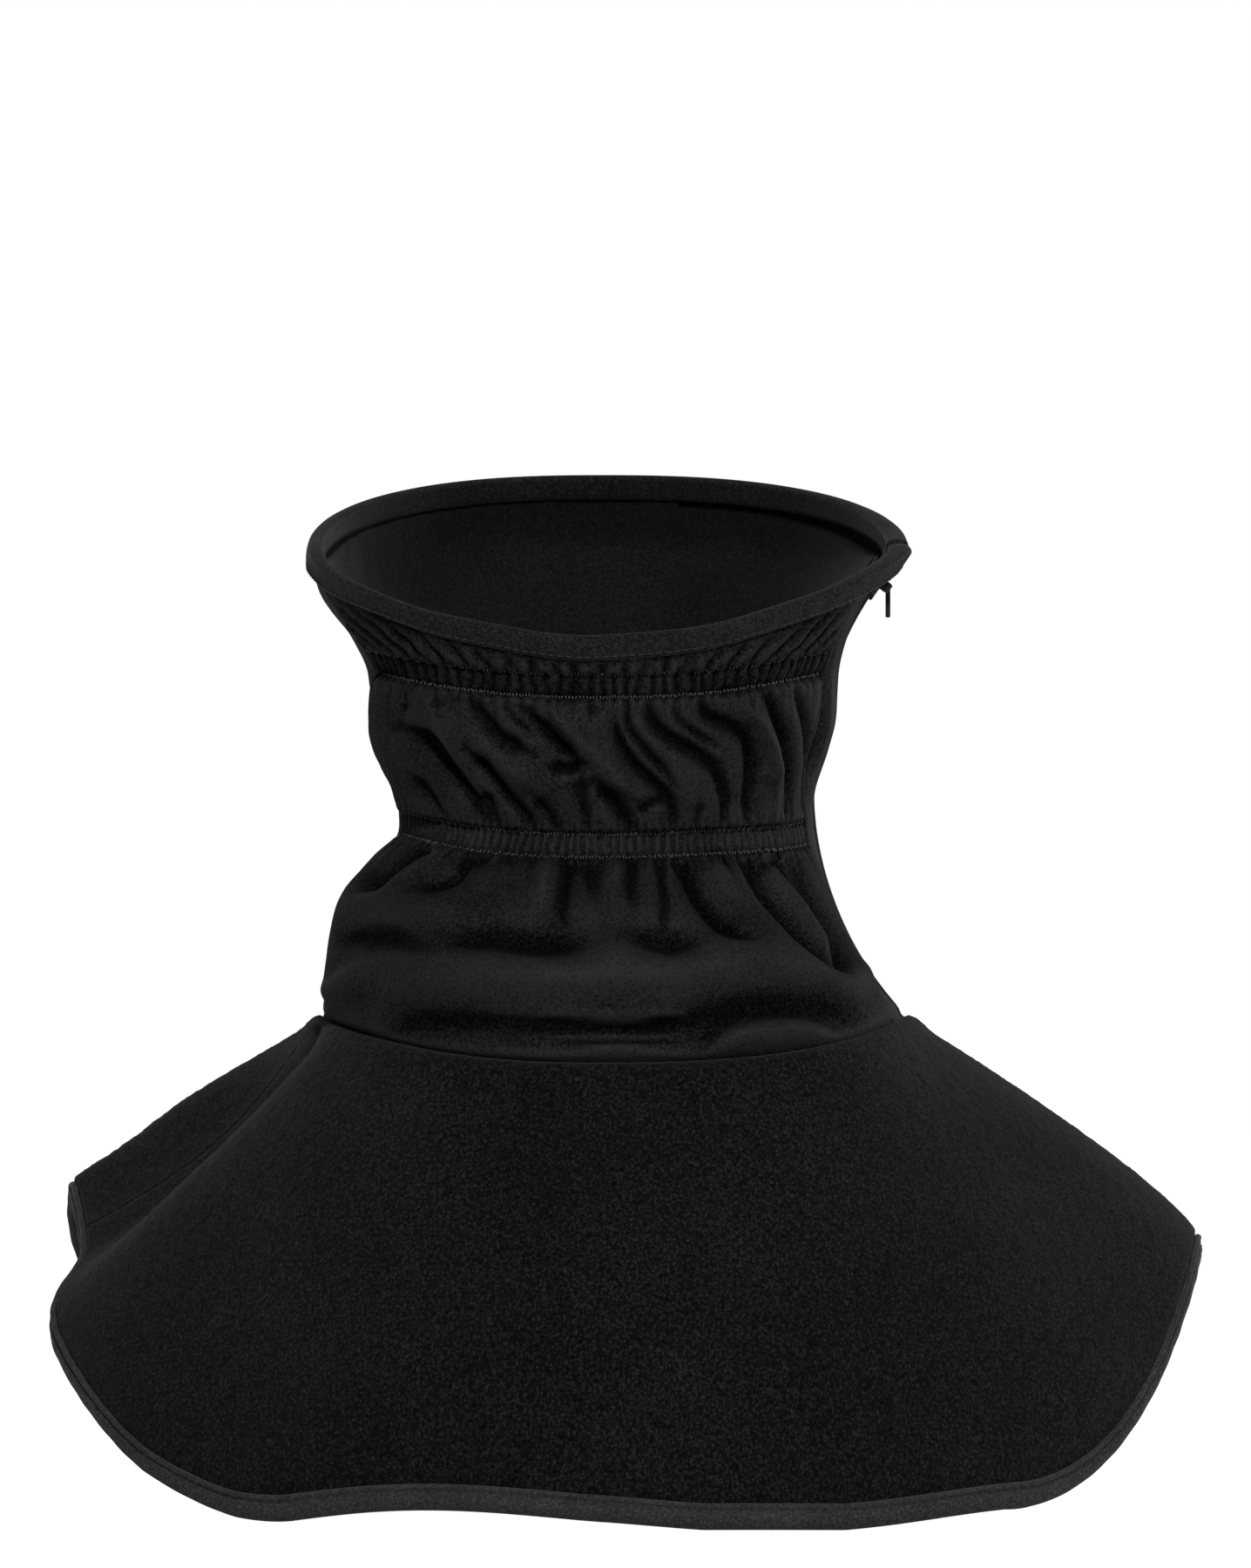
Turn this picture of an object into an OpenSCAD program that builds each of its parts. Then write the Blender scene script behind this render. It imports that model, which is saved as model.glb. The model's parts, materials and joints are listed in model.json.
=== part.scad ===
// Half balaclava: a zipped face mask with a gathered neck and a fleece bib.
// The wearer faces +Y and +X is the wearer's right. The origin is on the neck's
// axis, in the plane of the lowest part of the hem.

/* [Heights] */
// Seam between neck and bib, at the centre of the back
seam_z = 133.5; // [125:0.5:140]
// How far that seam rises at the sides of the neck
seam_rise = 12.5; // [5:0.5:15]
// Middle of the lower elastic channel, at the centre of the back
lower_z = 195; // [190:0.5:200]
// How far the lower channel rises at the sides
lower_rise = 7; // [0:0.5:9]
// Middle of the upper elastic channel, at the centre of the back
upper_z = 241; // [236:0.5:243]
// How far the upper channel rises at the sides
upper_rise = 8; // [0:0.5:10]
// Top edge of the mask, at the centre of the back
top_z = 255; // [253:0.5:258]
// How far the top edge rises from nape to nose
top_rise = 48; // [40:1:52]

/* [Bib] */
// Width of the bib from the neck's axis to the right edge
hem_right = 172; // [165:1:180]
// Width of the bib from the neck's axis to the left edge
hem_left = 163; // [155:1:170]
// Reach of the bib behind the zip plane
hem_back = 128; // [120:1:135]
// Reach of the bib in front of the zip plane
hem_front = 134; // [125:1:140]
// Height of the hem at the right shoulder
hem_rise_right = 75; // [60:1:80]
// Height of the hem at the left shoulder
hem_rise_left = 90; // [60:1:92]
// Depth of the fold where the bib drapes over the left shoulder
fold_deep = 24; // [0:1:26]

/* [Cloth] */
// Thickness of the outer softshell
shell_t = 0.9; // [0.7:0.05:1]
// Thickness of the elastic tape
elastic_t = 0.5; // [0.4:0.05:0.6]
// Height of the elastic tape
elastic_h = 5.2; // [4:0.1:5.6]
// Height of an elastic channel
channel_h = 6.4; // [6.2:0.1:7]
// Thickness of the lining
lining_t = 0.5; // [0.4:0.05:0.6]
// Thickness of the fleece
fleece_t = 3; // [2:0.1:3.2]
// Thickness of the binding tapes
binding_t = 0.6; // [0.4:0.05:0.8]
// Width of the band folded over the top edge
band_w = 6.8; // [6:0.1:7.5]
// Width of the tape folded round the hem
hem_w = 7.5; // [6:0.1:8]
// Thickness of the sewing thread
thread_d = 0.4; // [0.3:0.05:0.5]

/* [Zip] */
// Radius of the arc that the zip follows down the side of the neck
zip_r = 98; // [97.5:0.1:98.5]
// Height of that arc's centre
zip_arc_z = 213; // [212:0.5:214]
// Distance of that arc's centre from the neck's axis
zip_arc_x = 159; // [158:0.5:160]
// Width of one zip tape
tape_w = 12; // [10:0.5:13]
// Thickness of a zip tape
tape_t = 0.5; // [0.4:0.05:0.6]
// Width of one row of coil
coil_w = 2.1; // [1.8:0.1:2.2]
// Height of the coil over the tape
coil_h = 1.6; // [1.4:0.1:1.6]
// Distance from the zip's middle to the edge of the cloth
zip_gap = 4.6; // [4.6:0.1:6]
// Length of the slider
slider_l = 10.5; // [10:0.5:12]
// Length of the pull below its hinge
pull_l = 8.5; // [8:0.5:14]

/* [Hidden] */

// The side line of the neck, where the zip runs, is this far behind the neck's axis.
zip_y = -6;
// Angles round the neck: 0 is the right side, 90 the nose, 270 the nape.
nose = 90;
left_seam = 195;
right_seam = 340;
seam_gap = 0.25;
// Squareness of the neck's and the bib's plan outlines; 2 would be an ellipse.
neck_square = 2.4;
bib_square = 2.2;

// Reach of the neck from its axis, by height: left, behind the zip plane, in front.
left_reach = [[134, 84], [151, 80], [166, 77], [176, 75], [186, 69], [198, 58.5],
              [214, 59.5], [226, 65], [246, 67], [256, 72.5], [266, 80.5], [276, 84]];
back_reach = [[134, 86], [146, 85], [156, 82], [170, 72], [190, 59], [200, 57], [220, 60], [240, 66],
              [256, 71], [276, 78]];
front_reach = [[134, 100], [151, 94], [176, 90], [198, 96], [214, 104], [250, 114], [283, 124], [303, 114]];
widest_z = 280;

// Layers are given by their distance in from the outer face of the cloth.
layer_gap = 0.3;
elastic_in = shell_t + layer_gap;
lining_in = elastic_in + elastic_t + layer_gap;
wrap_gap = 0.45;
band_in = lining_in + lining_t + wrap_gap;
tape_under = 1.1;
tape_in = shell_t + tape_under;
coil_lift = 0.1;
coil_in = tape_in - coil_lift - coil_h;
coil_split = 0.6;
edge_gap = 0.4;
edge_in = 0.8;

function power(v, e) = sign(v) * pow(abs(v), e);
function blend(a, b, t) = a + (b - a) * t;
function smooth(t) = let(u = min(max(t, 0), 1)) u * u * (3 - 2 * u);

// Drop from the arc's centre to the zip, along X, at a height.
function arc_drop(z) = sqrt(zip_r * zip_r - pow(min(z, widest_z) - zip_arc_z, 2));
function right_reach(z) = zip_arc_x - arc_drop(z);

// Layers keep their thickness where the side of the neck slopes beside the zip.
function slope(z) = zip_r / arc_drop(z);

// A point of the neck at an angle and a height, this far in from its outer face.
function neck(angle, z, inward) =
    let(c = cos(angle), s = sin(angle), e = 2 / neck_square,
        half = c > 0 ? right_reach(z) - inward * slope(z) : lookup(z, left_reach) - inward,
        deep = s > 0 ? lookup(z, front_reach) : lookup(z, back_reach))
    [half * power(c, e), zip_y + (deep - inward) * power(s, e), z];

top_curve = 0.8;
function seam_line(angle) = seam_z + seam_rise * pow(cos(angle), 2);
function lower_line(angle) = lower_z + lower_rise * pow(cos(angle), 2);
function upper_line(angle) = upper_z + upper_rise * pow(cos(angle), 2);
function top_line(angle) = top_z + top_rise * pow((1 + sin(angle)) / 2, top_curve);

// Angle at which the cloth beside the zip ends, in front of and behind it.
function zip_edge(z, reach) = asin(pow(zip_gap / lookup(z, reach), neck_square / 2));

function spread(t, from, to, z) =
    let(a = from == "zip" ? zip_edge(z, front_reach) : from,
        b = to == "zip" ? 360 - zip_edge(z, back_reach) : to)
    blend(a, b, t);

skirt_rows = 5;
channel_rows = 1;
middle_rows = 4;
collar_rows = 2;
band_rows = 3;

// Rows of heights up the neck. Every layer uses the same rows, so layers never cross.
function rows_between(a, b, n) = [for (i = [0 : n - 1]) blend(a, b, i / n)];
function neck_rows(angle) = concat(
    rows_between(seam_line(angle) + edge_gap, lower_line(angle) - channel_h / 2, skirt_rows),
    rows_between(lower_line(angle) - channel_h / 2, lower_line(angle) + channel_h / 2, channel_rows),
    rows_between(lower_line(angle) + channel_h / 2, upper_line(angle) - channel_h / 2, middle_rows),
    rows_between(upper_line(angle) - channel_h / 2, upper_line(angle) + channel_h / 2, channel_rows),
    rows_between(upper_line(angle) + channel_h / 2, top_line(angle) - band_w, collar_rows),
    rows_between(top_line(angle) - band_w, top_line(angle) - edge_in, band_rows),
    [top_line(angle) - edge_in]);

// A closed solid through a row of sections. A section lists its outer points in
// one direction and then its inner points back again.
module skin(sections, ring = false) {
    count = len(sections);
    size = len(sections[0]);
    half = size / 2;
    last = ring ? count - 1 : count - 2;
    sides = [for (k = [0 : last]) for (j = [0 : size - 1])
             let(m = (k + 1) % count, i = (j + 1) % size,
                 a = k * size + j, b = k * size + i, c = m * size + i, d = m * size + j)
             each [[a, b, c], [a, c, d]]];
    caps = ring ? [] : [for (j = [0 : half - 2])
            let(a = j, b = j + 1, c = size - 2 - j, d = size - 1 - j, e = (count - 1) * size)
            each [[c, b, a], [d, c, a], [a + e, b + e, c + e], [a + e, c + e, d + e]]];
    polyhedron(points = [for (s = sections) each s], faces = concat(sides, caps), convexity = 6);
}

// One layer of the neck between two angles.
module neck_layer(from, to, columns, inward, thick) {
    side = [for (k = [0 : columns]) let(t = k / columns, middle = spread(t, from, to, lower_z))
            let(rows = neck_rows(middle), n = len(rows))
            concat([for (i = [0 : n - 1]) neck(spread(t, from, to, rows[i]), rows[i], inward)],
                   [for (i = [n - 1 : -1 : 0]) neck(spread(t, from, to, rows[i]), rows[i], inward + thick)])];
    skin(side);
}

// A point inside an elastic channel: t runs from its lower to its upper line.
function in_channel(angle, line, t, inward) =
    let(low = neck(angle, line - channel_h / 2, inward), high = neck(angle, line + channel_h / 2, inward))
    blend(low, high, t);

function channel_section(angle, line, t0, t1, inward, thick) =
    [in_channel(angle, line, t0, inward), in_channel(angle, line, t1, inward),
     in_channel(angle, line, t1, inward + thick), in_channel(angle, line, t0, inward + thick)];

back_columns = 24;
function back_angle(k) = blend(left_seam + seam_gap, right_seam - seam_gap, k / back_columns);

module back_panel() {
    color("#232026") neck_layer(left_seam + seam_gap, right_seam - seam_gap, back_columns, 0, shell_t);
}

module side_panel_right() {
    color("#29262c") neck_layer(right_seam + seam_gap, "zip", 4, 0, shell_t);
}

module front_panel_right() {
    color("#29262c") neck_layer("zip", nose - seam_gap, 14, 0, shell_t);
}

module front_panel_left() {
    color("#29262c") neck_layer(nose + seam_gap, left_seam - seam_gap, 17, 0, shell_t);
}

module back_lining() {
    color("#1c1b1d") neck_layer(left_seam + seam_gap, right_seam - seam_gap, back_columns, lining_in, lining_t);
}

// The lining stops beside the front zip tape.
front_lining_start = 15;
module front_lining() {
    color("#1c1b1d") neck_layer(front_lining_start, left_seam - seam_gap, 30, lining_in, lining_t);
}

module upper_elastic() {
    edge = (1 - elastic_h / channel_h) / 2;
    color("#d8d8d8")
        skin([for (k = [0 : back_columns]) let(a = back_angle(k))
              channel_section(a, upper_line(a), edge, 1 - edge, elastic_in, elastic_t)]);
}

module lower_elastic() {
    edge = (1 - elastic_h / channel_h) / 2;
    color("#d8d8d8")
        skin([for (k = [0 : back_columns]) let(a = back_angle(k))
              channel_section(a, lower_line(a), edge, 1 - edge, elastic_in, elastic_t)]);
}

// A thread lies on the outer face, just clear of the cloth. The rows on a channel
// keep inside its edges by a share of its width.
thread_lift = 0.15;
thread_out = -thread_d - thread_lift;
thread_edge = 0.02;

module channel_thread(low_edge, lift) {
    grip = thread_d / channel_h;
    t = low_edge ? thread_edge : 1 - thread_edge - grip;
    skin([for (k = [0 : back_columns]) let(a = back_angle(k))
          channel_section(a, lift ? upper_line(a) : lower_line(a), t, t + grip, thread_out, thread_d)]);
}

module upper_channel_stitches() {
    color("#3c3a40") {
        channel_thread(true, true);
        channel_thread(false, true);
    }
}

module lower_channel_stitches() {
    color("#3c3a40") {
        channel_thread(true, false);
        channel_thread(false, false);
    }
}

// The band is folded over the top edge and stops on each side of the zip.
band_columns = 60;

function band_point(t, down, inward) =
    let(middle = spread(t, "zip", "zip", top_z), z = top_line(middle) - down)
    neck(spread(t, "zip", "zip", z), z, inward);

// One wall of the band, from its lower edge up to a distance below its top.
function band_wall(t, top, inward) =
    [for (i = [0 : band_rows]) band_point(t, blend(band_w, top, i / band_rows), inward)];
function reversed(list) = [for (i = [len(list) - 1 : -1 : 0]) list[i]];

module top_band() {
    color("#2b282e")
        skin([for (k = [0 : band_columns]) let(t = k / band_columns)
              concat(band_wall(t, 0, -wrap_gap - binding_t), reversed(band_wall(t, 0, band_in + binding_t)),
                     band_wall(t, binding_t, band_in), reversed(band_wall(t, binding_t, -wrap_gap)))]);
}

// The row is this far above the band's lower edge.
stitch_up = 0.4;

module top_band_stitches() {
    out = -wrap_gap - binding_t + thread_out;
    low = band_w - stitch_up;
    color("#3c3a40")
        skin([for (k = [0 : band_columns]) let(t = k / band_columns)
              [band_point(t, low, out), band_point(t, low - thread_d, out),
               band_point(t, low - thread_d, out + thread_d), band_point(t, low, out + thread_d)]]);
}

// The hem rises over each shoulder. On the left its peak lies a little to the
// front, and it comes down in a longer curve.
right_span = 48;
left_span = 66;
left_peak = 170;
left_curve = 1.5;
peak_round = 3;
wave_h = 3.3;
wave_flat = 0.8;
wave_start = 75;
waves = 6;

function right_away(angle) = asin(min(1, abs(sin(angle))));
function left_away(angle) =
    min(left_span, sqrt(pow(angle - left_peak, 2) + pow(peak_round, 2)) - peak_round);
function right_lift(angle) = cos(angle) > 0 ? 1 - smooth(right_away(angle) / right_span) : 0;
function left_lift(angle) = cos(angle) < 0 ? pow(1 - left_away(angle) / left_span, left_curve) : 0;

function hem_line(angle) =
    let(wave = max(0, wave_h * (1 - cos(waves * (angle + wave_start))) - wave_flat),
        right = right_lift(angle), left = left_lift(angle))
    wave * (1 - right) * (1 - left) + hem_rise_right * right + hem_rise_left * left;

// The fold over the left shoulder: a valley that moves forward as it goes down.
// It is steep on its back side and opens slowly to the front.
fold_top = 193;
fold_turn = 11;
fold_back = 8;
fold_front = 16;
fold_hem = 14;

function fold(angle, t) =
    let(deep = fold_deep * 4 * t * (1 - t) + fold_hem * t * t, off = angle - fold_top + fold_turn * t)
    deep * exp(-pow(off / (off > 0 ? fold_back : fold_front), 2));

function pinch(p, amount) =
    let(k = 1 - amount / norm([p[0], p[1]]))
    [p[0] * k, p[1] * k, p[2]];

function hem(angle, z, inward) =
    let(c = cos(angle), s = sin(angle), e = 2 / bib_square,
        half = c > 0 ? hem_right : hem_left, deep = s > 0 ? hem_front : hem_back)
    pinch([(half - inward) * power(c, e), zip_y + (deep - inward) * power(s, e), z], fold(angle, 1));

// The bib falls from the seam in a bell curve and hangs straight for the last stretch.
skirt_over = 1.2;
skirt_h = hem_w + skirt_over;
bib_lift = 1;
bell_side = 1.2;
bell_back = 1.6;

function bib(angle, t, inward) =
    let(from = seam_line(angle) - edge_gap, to = hem_line(angle) + skirt_h,
        bell = blend(bell_side, bell_back, pow(sin(angle), 2)), g = 1 - pow(1 - t, bell),
        a = neck(angle, from, inward), b = hem(angle, to, inward), p = blend(a, b, g))
    pinch([p[0], p[1], blend(from, to, t)], fold(angle, t) - fold(angle, 1) * g);

bib_rows = 7;
function bib_section(angle) = concat(
    [hem(angle, hem_line(angle) + bib_lift, 0)],
    [for (i = [bib_rows : -1 : 0]) bib(angle, i / bib_rows, 0)],
    [for (i = [0 : bib_rows]) bib(angle, i / bib_rows, fleece_t)],
    [hem(angle, hem_line(angle) + bib_lift, fleece_t)]);

bib_columns = 32;
function half_turn(start, k) = blend(start + seam_gap, start + 180 - seam_gap, k / bib_columns);

module back_bib() {
    color("#1e1e1c") skin([for (k = [0 : bib_columns]) bib_section(half_turn(180, k))]);
}

module front_bib() {
    color("#1e1e1c") skin([for (k = [0 : bib_columns]) bib_section(half_turn(0, k))]);
}

// Tape folded round the hem, open upwards. Its columns are those of the two bib halves.
hem_angles = [for (start = [0, 180]) for (k = [0 : bib_columns]) half_turn(start, k)];

module hem_binding() {
    out = -wrap_gap - binding_t;
    inner = fleece_t + wrap_gap;
    color("#2a282c")
        skin([for (a = hem_angles) let(z = hem_line(a))
              [hem(a, z + hem_w, -wrap_gap), hem(a, z + binding_t, -wrap_gap),
               hem(a, z + binding_t, inner), hem(a, z + hem_w, inner),
               hem(a, z + hem_w, inner + binding_t), hem(a, z, inner + binding_t),
               hem(a, z, out), hem(a, z + hem_w, out)]], ring = true);
}

// The row is this far below the tape's upper edge.
stitch_down = 2;

module hem_binding_stitches() {
    out = -wrap_gap - binding_t + thread_out;
    color("#3c3a40")
        skin([for (a = hem_angles) let(z = hem_line(a) + hem_w - stitch_down)
              [hem(a, z, out), hem(a, z + thread_d, out),
               hem(a, z + thread_d, out + thread_d), hem(a, z, out + thread_d)]], ring = true);
}

// Zip parts are arcs about one axis that runs along Y. Children are drawn with
// x as the radius and y as the distance in front of the zip's middle.
module along_zip(low, high) {
    translate([zip_arc_x, zip_y, zip_arc_z])
        rotate([90, 0, 0])
            rotate_extrude(angle = high - low, start = 180 - high, $fn = 360)
                mirror([0, 1]) children();
}

function zip_angle(z) = asin((z - zip_arc_z) / zip_r);
function arc_degrees(length) = length / zip_r * 180 / PI;

// The tapes end inside the fold of the top band and at the seam of the bib.
tape_top = zip_angle(277.3);
tape_bottom = zip_angle(148.5);
stop_l = arc_degrees(1.5);
stop_gap = arc_degrees(0.4);
top_margin = arc_degrees(0.3);
bottom_margin = arc_degrees(1.5);
top_stop = tape_top - stop_l - top_margin;
slider_top = top_stop - stop_gap;
slider_bottom = slider_top - arc_degrees(slider_l);
bottom_stop = tape_bottom + bottom_margin;

module zip_strip(side, low, high, from, to, deep, thick) {
    along_zip(low, high)
        translate([zip_r + deep, side > 0 ? from : -to])
            square([thick, to - from]);
}

module zip_tape_back() {
    color("#1d1c1f") zip_strip(-1, tape_bottom, tape_top, coil_split, coil_split + tape_w, tape_in, tape_t);
}

module zip_tape_front() {
    color("#1d1c1f") zip_strip(1, tape_bottom, tape_top, coil_split, coil_split + tape_w, tape_in, tape_t);
}

// The coil rows run between the stops.
coil_low = bottom_stop + stop_l + stop_gap;

module zip_coil_back() {
    color("#141414") zip_strip(-1, coil_low, top_stop - stop_gap, coil_split, coil_split + coil_w, coil_in, coil_h);
}

module zip_coil_front() {
    color("#141414") zip_strip(1, coil_low, top_stop - stop_gap, coil_split, coil_split + coil_w, coil_in, coil_h);
}

module zip_top_stops() {
    color("#303030") {
        zip_strip(-1, top_stop, top_stop + stop_l, coil_split, coil_split + coil_w, coil_in, coil_h);
        zip_strip(1, top_stop, top_stop + stop_l, coil_split, coil_split + coil_w, coil_in, coil_h);
    }
}

module zip_bottom_stop() {
    width = coil_split + coil_w;
    color("#303030") zip_strip(1, bottom_stop, bottom_stop + stop_l, -width, width, coil_in, coil_h);
}

// Flap between the zip and the skin, sewn to the front side and ending below the band.
guard_in = 5;
guard_t = 0.6;
guard_top = zip_angle(275);
guard_back = 9;
guard_front = 15;
module zip_guard() {
    color("#1c1b1d") zip_strip(1, tape_bottom, guard_top, -guard_back, guard_front, guard_in, guard_t);
}

// The slider has a plate on each side of the tapes. A bridge between the coil
// rows joins them, and two ears hold the pin.
slider_half = 4.1;
plate_out = -1.4;
plate_t = 1.2;
under_t = 1;
under_gap = 0.4;
under_in = tape_in + tape_t + under_gap;
flange_t = 1;
flange_gap = 0.3;
bridge_half = 0.35;
bridge_l = 2.5;
pin_r = 0.7;
pin_hole_r = 0.78;
pin_rise = 1.9;
pin_out = plate_out - pin_rise;
ear_t = 1;
ear_gap = 3.4;
ear_half = 1.6;
ear_over = 1.3;
ear_root = 0.3;
join = 0.1;
slider_mid = (slider_top + slider_bottom) / 2;
pin_x = zip_arc_x - (zip_r + pin_out) * cos(slider_mid);
pin_z = zip_arc_z + (zip_r + pin_out) * sin(slider_mid);

// Cylinder along Y, centred on the zip plane, at the pull's hinge.
module at_pin(radius, width) {
    translate([pin_x, zip_y + width / 2, pin_z])
        rotate([90, 0, 0]) cylinder(r = radius, h = width, $fn = 48);
}

module zip_slider() {
    bridge_low = slider_top - arc_degrees(bridge_l);
    ear_span = arc_degrees(ear_half);
    plate_in = plate_out + plate_t;
    color("#3a3a3c") {
        zip_strip(1, slider_bottom, slider_top, -slider_half, slider_half, plate_out, plate_t);
        for (side = [-1, 1]) {
            zip_strip(side, slider_bottom, slider_top, slider_half - flange_t, slider_half,
                      plate_in - join, tape_in - flange_gap - plate_in);
            zip_strip(side, slider_mid - ear_span, slider_mid + ear_span, ear_gap / 2, ear_gap / 2 + ear_t,
                      pin_out - ear_over, pin_rise + ear_over + ear_root);
        }
        zip_strip(1, slider_bottom, slider_top, -slider_half, slider_half, under_in, under_t);
        zip_strip(1, bridge_low, slider_top, -bridge_half, bridge_half,
                  plate_in - join, under_in - plate_in + 2 * join);
        at_pin(pin_r, ear_gap + 4 * join);
    }
}

// The pull hangs straight down from the slider's pin.
pull_w = 4.4;
pull_t = 1.4;
eye_w = 2.8;
eye_r = 1.5;
grip_top = 2.6;
grip_lap = 1;

module zip_pull() {
    color("#2c2c2e")
        difference() {
            union() {
                at_pin(eye_r, eye_w);
                translate([pin_x - pull_t / 2, zip_y - eye_w / 2, pin_z - grip_top - grip_lap])
                    cube([pull_t, eye_w, grip_top + grip_lap]);
                translate([pin_x - pull_t / 2, zip_y - pull_w / 2, pin_z - pull_l])
                    cube([pull_t, pull_w, pull_l - grip_top]);
            }
            at_pin(pin_hole_r, eye_w + 2 * grip_lap);
        }
}

back_panel();
side_panel_right();
front_panel_right();
front_panel_left();
back_lining();
front_lining();
upper_elastic();
lower_elastic();
top_band();
back_bib();
front_bib();
hem_binding();
upper_channel_stitches();
lower_channel_stitches();
top_band_stitches();
hem_binding_stitches();
zip_tape_back();
zip_tape_front();
zip_coil_back();
zip_coil_front();
zip_slider();
zip_pull();
zip_top_stops();
zip_bottom_stop();
zip_guard();
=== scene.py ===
import json
import math

import bmesh
import bpy
import numpy as np
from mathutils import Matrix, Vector


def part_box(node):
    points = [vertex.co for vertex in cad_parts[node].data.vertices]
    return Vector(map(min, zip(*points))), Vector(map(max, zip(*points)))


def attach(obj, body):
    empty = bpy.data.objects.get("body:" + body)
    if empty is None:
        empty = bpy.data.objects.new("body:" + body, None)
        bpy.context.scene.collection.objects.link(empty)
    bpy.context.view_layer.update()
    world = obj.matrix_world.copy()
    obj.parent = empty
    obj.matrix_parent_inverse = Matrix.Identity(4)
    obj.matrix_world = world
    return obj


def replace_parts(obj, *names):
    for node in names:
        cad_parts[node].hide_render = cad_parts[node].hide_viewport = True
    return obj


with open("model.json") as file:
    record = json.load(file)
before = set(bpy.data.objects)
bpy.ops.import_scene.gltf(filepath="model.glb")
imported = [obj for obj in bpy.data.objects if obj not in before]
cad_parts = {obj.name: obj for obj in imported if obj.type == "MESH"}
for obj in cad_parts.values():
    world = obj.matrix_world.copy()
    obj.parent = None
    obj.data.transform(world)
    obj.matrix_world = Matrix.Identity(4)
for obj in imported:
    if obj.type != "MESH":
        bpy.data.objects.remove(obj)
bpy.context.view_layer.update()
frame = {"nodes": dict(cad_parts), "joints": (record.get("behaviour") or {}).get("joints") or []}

# All lengths below are millimetres until a mesh is made.
MM = 0.001
rng = np.random.default_rng(7)

# ---------------- driving sizes: from the frame, or as in the CAD model where the frame doesn't hold them

joints = {j["name"]: j for j in frame["joints"]}
ARC_X, ZIP_Y, ARC_Z = [v / MM for v in joints["zip_travel"]["pos_m"]]
PIN = np.array(joints["pull_swing"]["pos_m"]) / MM


def side(node, corner, axis):
    """One face of a CAD node's box, in millimetres: corner 0 is low, 1 is high."""
    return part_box(node)[corner][axis] / MM


# Layers of the CAD model, counted inwards from the outer face of the cloth.
SHELL_T = 0.9
LINING_IN = 2.0
LINING_T = 0.5
TAPE_IN = 2.0
TAPE_T = 0.5
TAPE_W = 12.0
COIL_SPLIT = 0.6
# How far the tapes run on below and above their CAD ends.
TAPE_FOOT = 5.0
TAPE_HEAD = 1.8
BAND_OUT = 1.05
BAND_IN = 3.55
FLEECE_T = 3.0
CHANNEL_H = 6.4
ZIP_GAP = 4.6

ZIP_R = ARC_X - side("zip_tape_back", 0, 0) - TAPE_IN - TAPE_T
HEM_RIGHT = side("hem_binding", 1, 0) - BAND_OUT
HEM_LEFT = 163.0
HEM_BACK = ZIP_Y - side("hem_binding", 0, 1) - BAND_OUT
HEM_FRONT = side("hem_binding", 1, 1) - ZIP_Y - BAND_OUT
TOP_NOSE = side("top_band", 1, 2)
BAND_W = 6.8
TOP_NAPE = side("top_band", 0, 2) + BAND_W
HEM_W = 7.5
SEAM_NAPE = 133.5
SEAM_RISE = 12.5
LOWER_NAPE = 195.0
LOWER_RISE = 7.0
# The lower channel falls a little towards its right end.
LOWER_SAG = 2.5
UPPER_NAPE = 241.0
UPPER_RISE = 8.0
LEFT_SEAM, RIGHT_SEAM, NOSE = 195.0, 340.0, 90.0
NECK_SQUARE, BIB_SQUARE = 2.4, 2.2
WIDEST_Z = 280.0
# About how far the gathered cloth stands off the neck, where its creases are placed.
BACK_STAND = 4.5


def smooth(t):
    t = np.clip(t, 0, 1)
    return t * t * (3 - 2 * t)


def bell(v, width):
    return np.exp(-((v / width) ** 2))


def power(v, e):
    return np.sign(v) * np.abs(v) ** e


def profile(points, blur=3.0):
    """A smooth curve through (height, reach) points: straight pieces, softened over a few millimetres."""
    zs, rs = np.array(points, float).T
    fine = np.arange(zs[0] - 20, zs[-1] + 20, 0.5)
    line = np.interp(fine, zs, rs)
    taps = np.arange(-16, 17) * 0.5
    weights = bell(taps, blur)
    soft = np.convolve(np.pad(line, 16, mode="edge"), weights / weights.sum(), mode="valid")
    return lambda z: np.interp(z, fine, soft)


left_reach = profile([(134, 84), (151, 80), (166, 77), (176, 75), (186, 69), (198, 58.5),
                      (214, 59.5), (226, 65), (246, 67), (256, 72.5), (266, 80.5), (276, 84)])
back_reach = profile([(134, 86), (146, 85), (156, 82), (170, 72), (190, 59), (200, 57), (220, 60), (240, 66),
                      (256, 71), (276, 78)])
front_reach = profile([(134, 100), (151, 94), (176, 90), (198, 96), (214, 104), (250, 114), (283, 124),
                       (303, 114)])


def cosd(a):
    return np.cos(np.radians(a))


def sind(a):
    return np.sin(np.radians(a))


def arc_drop(z):
    """How far the zip's arc lies from its axis, measured level, at a height."""
    return np.sqrt(ZIP_R**2 - (np.minimum(z, WIDEST_Z) - ARC_Z) ** 2)


def oval(angle, z, half, deep, square):
    """Points of a level rounded outline around the zip's plane, from half its width and its depth."""
    e = 2 / square
    return np.stack([half * power(cosd(angle), e), ZIP_Y + deep * power(sind(angle), e), z], -1)


def neck(angle, z, inward=0.0):
    """Points of the neck's surface: angle 0 is the wearer's right, 90 the nose, 270 the nape."""
    angle, z = np.broadcast_arrays(np.asarray(angle, float), np.asarray(z, float))
    right = ARC_X - arc_drop(z) - inward * ZIP_R / arc_drop(z)
    half = np.where(cosd(angle) > 0, right, left_reach(z) - inward)
    deep = np.where(sind(angle) > 0, front_reach(z), back_reach(z)) - inward
    return oval(angle, z, half, deep, NECK_SQUARE)


def seam_line(a):
    return SEAM_NAPE + SEAM_RISE * cosd(a) ** 2


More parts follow.
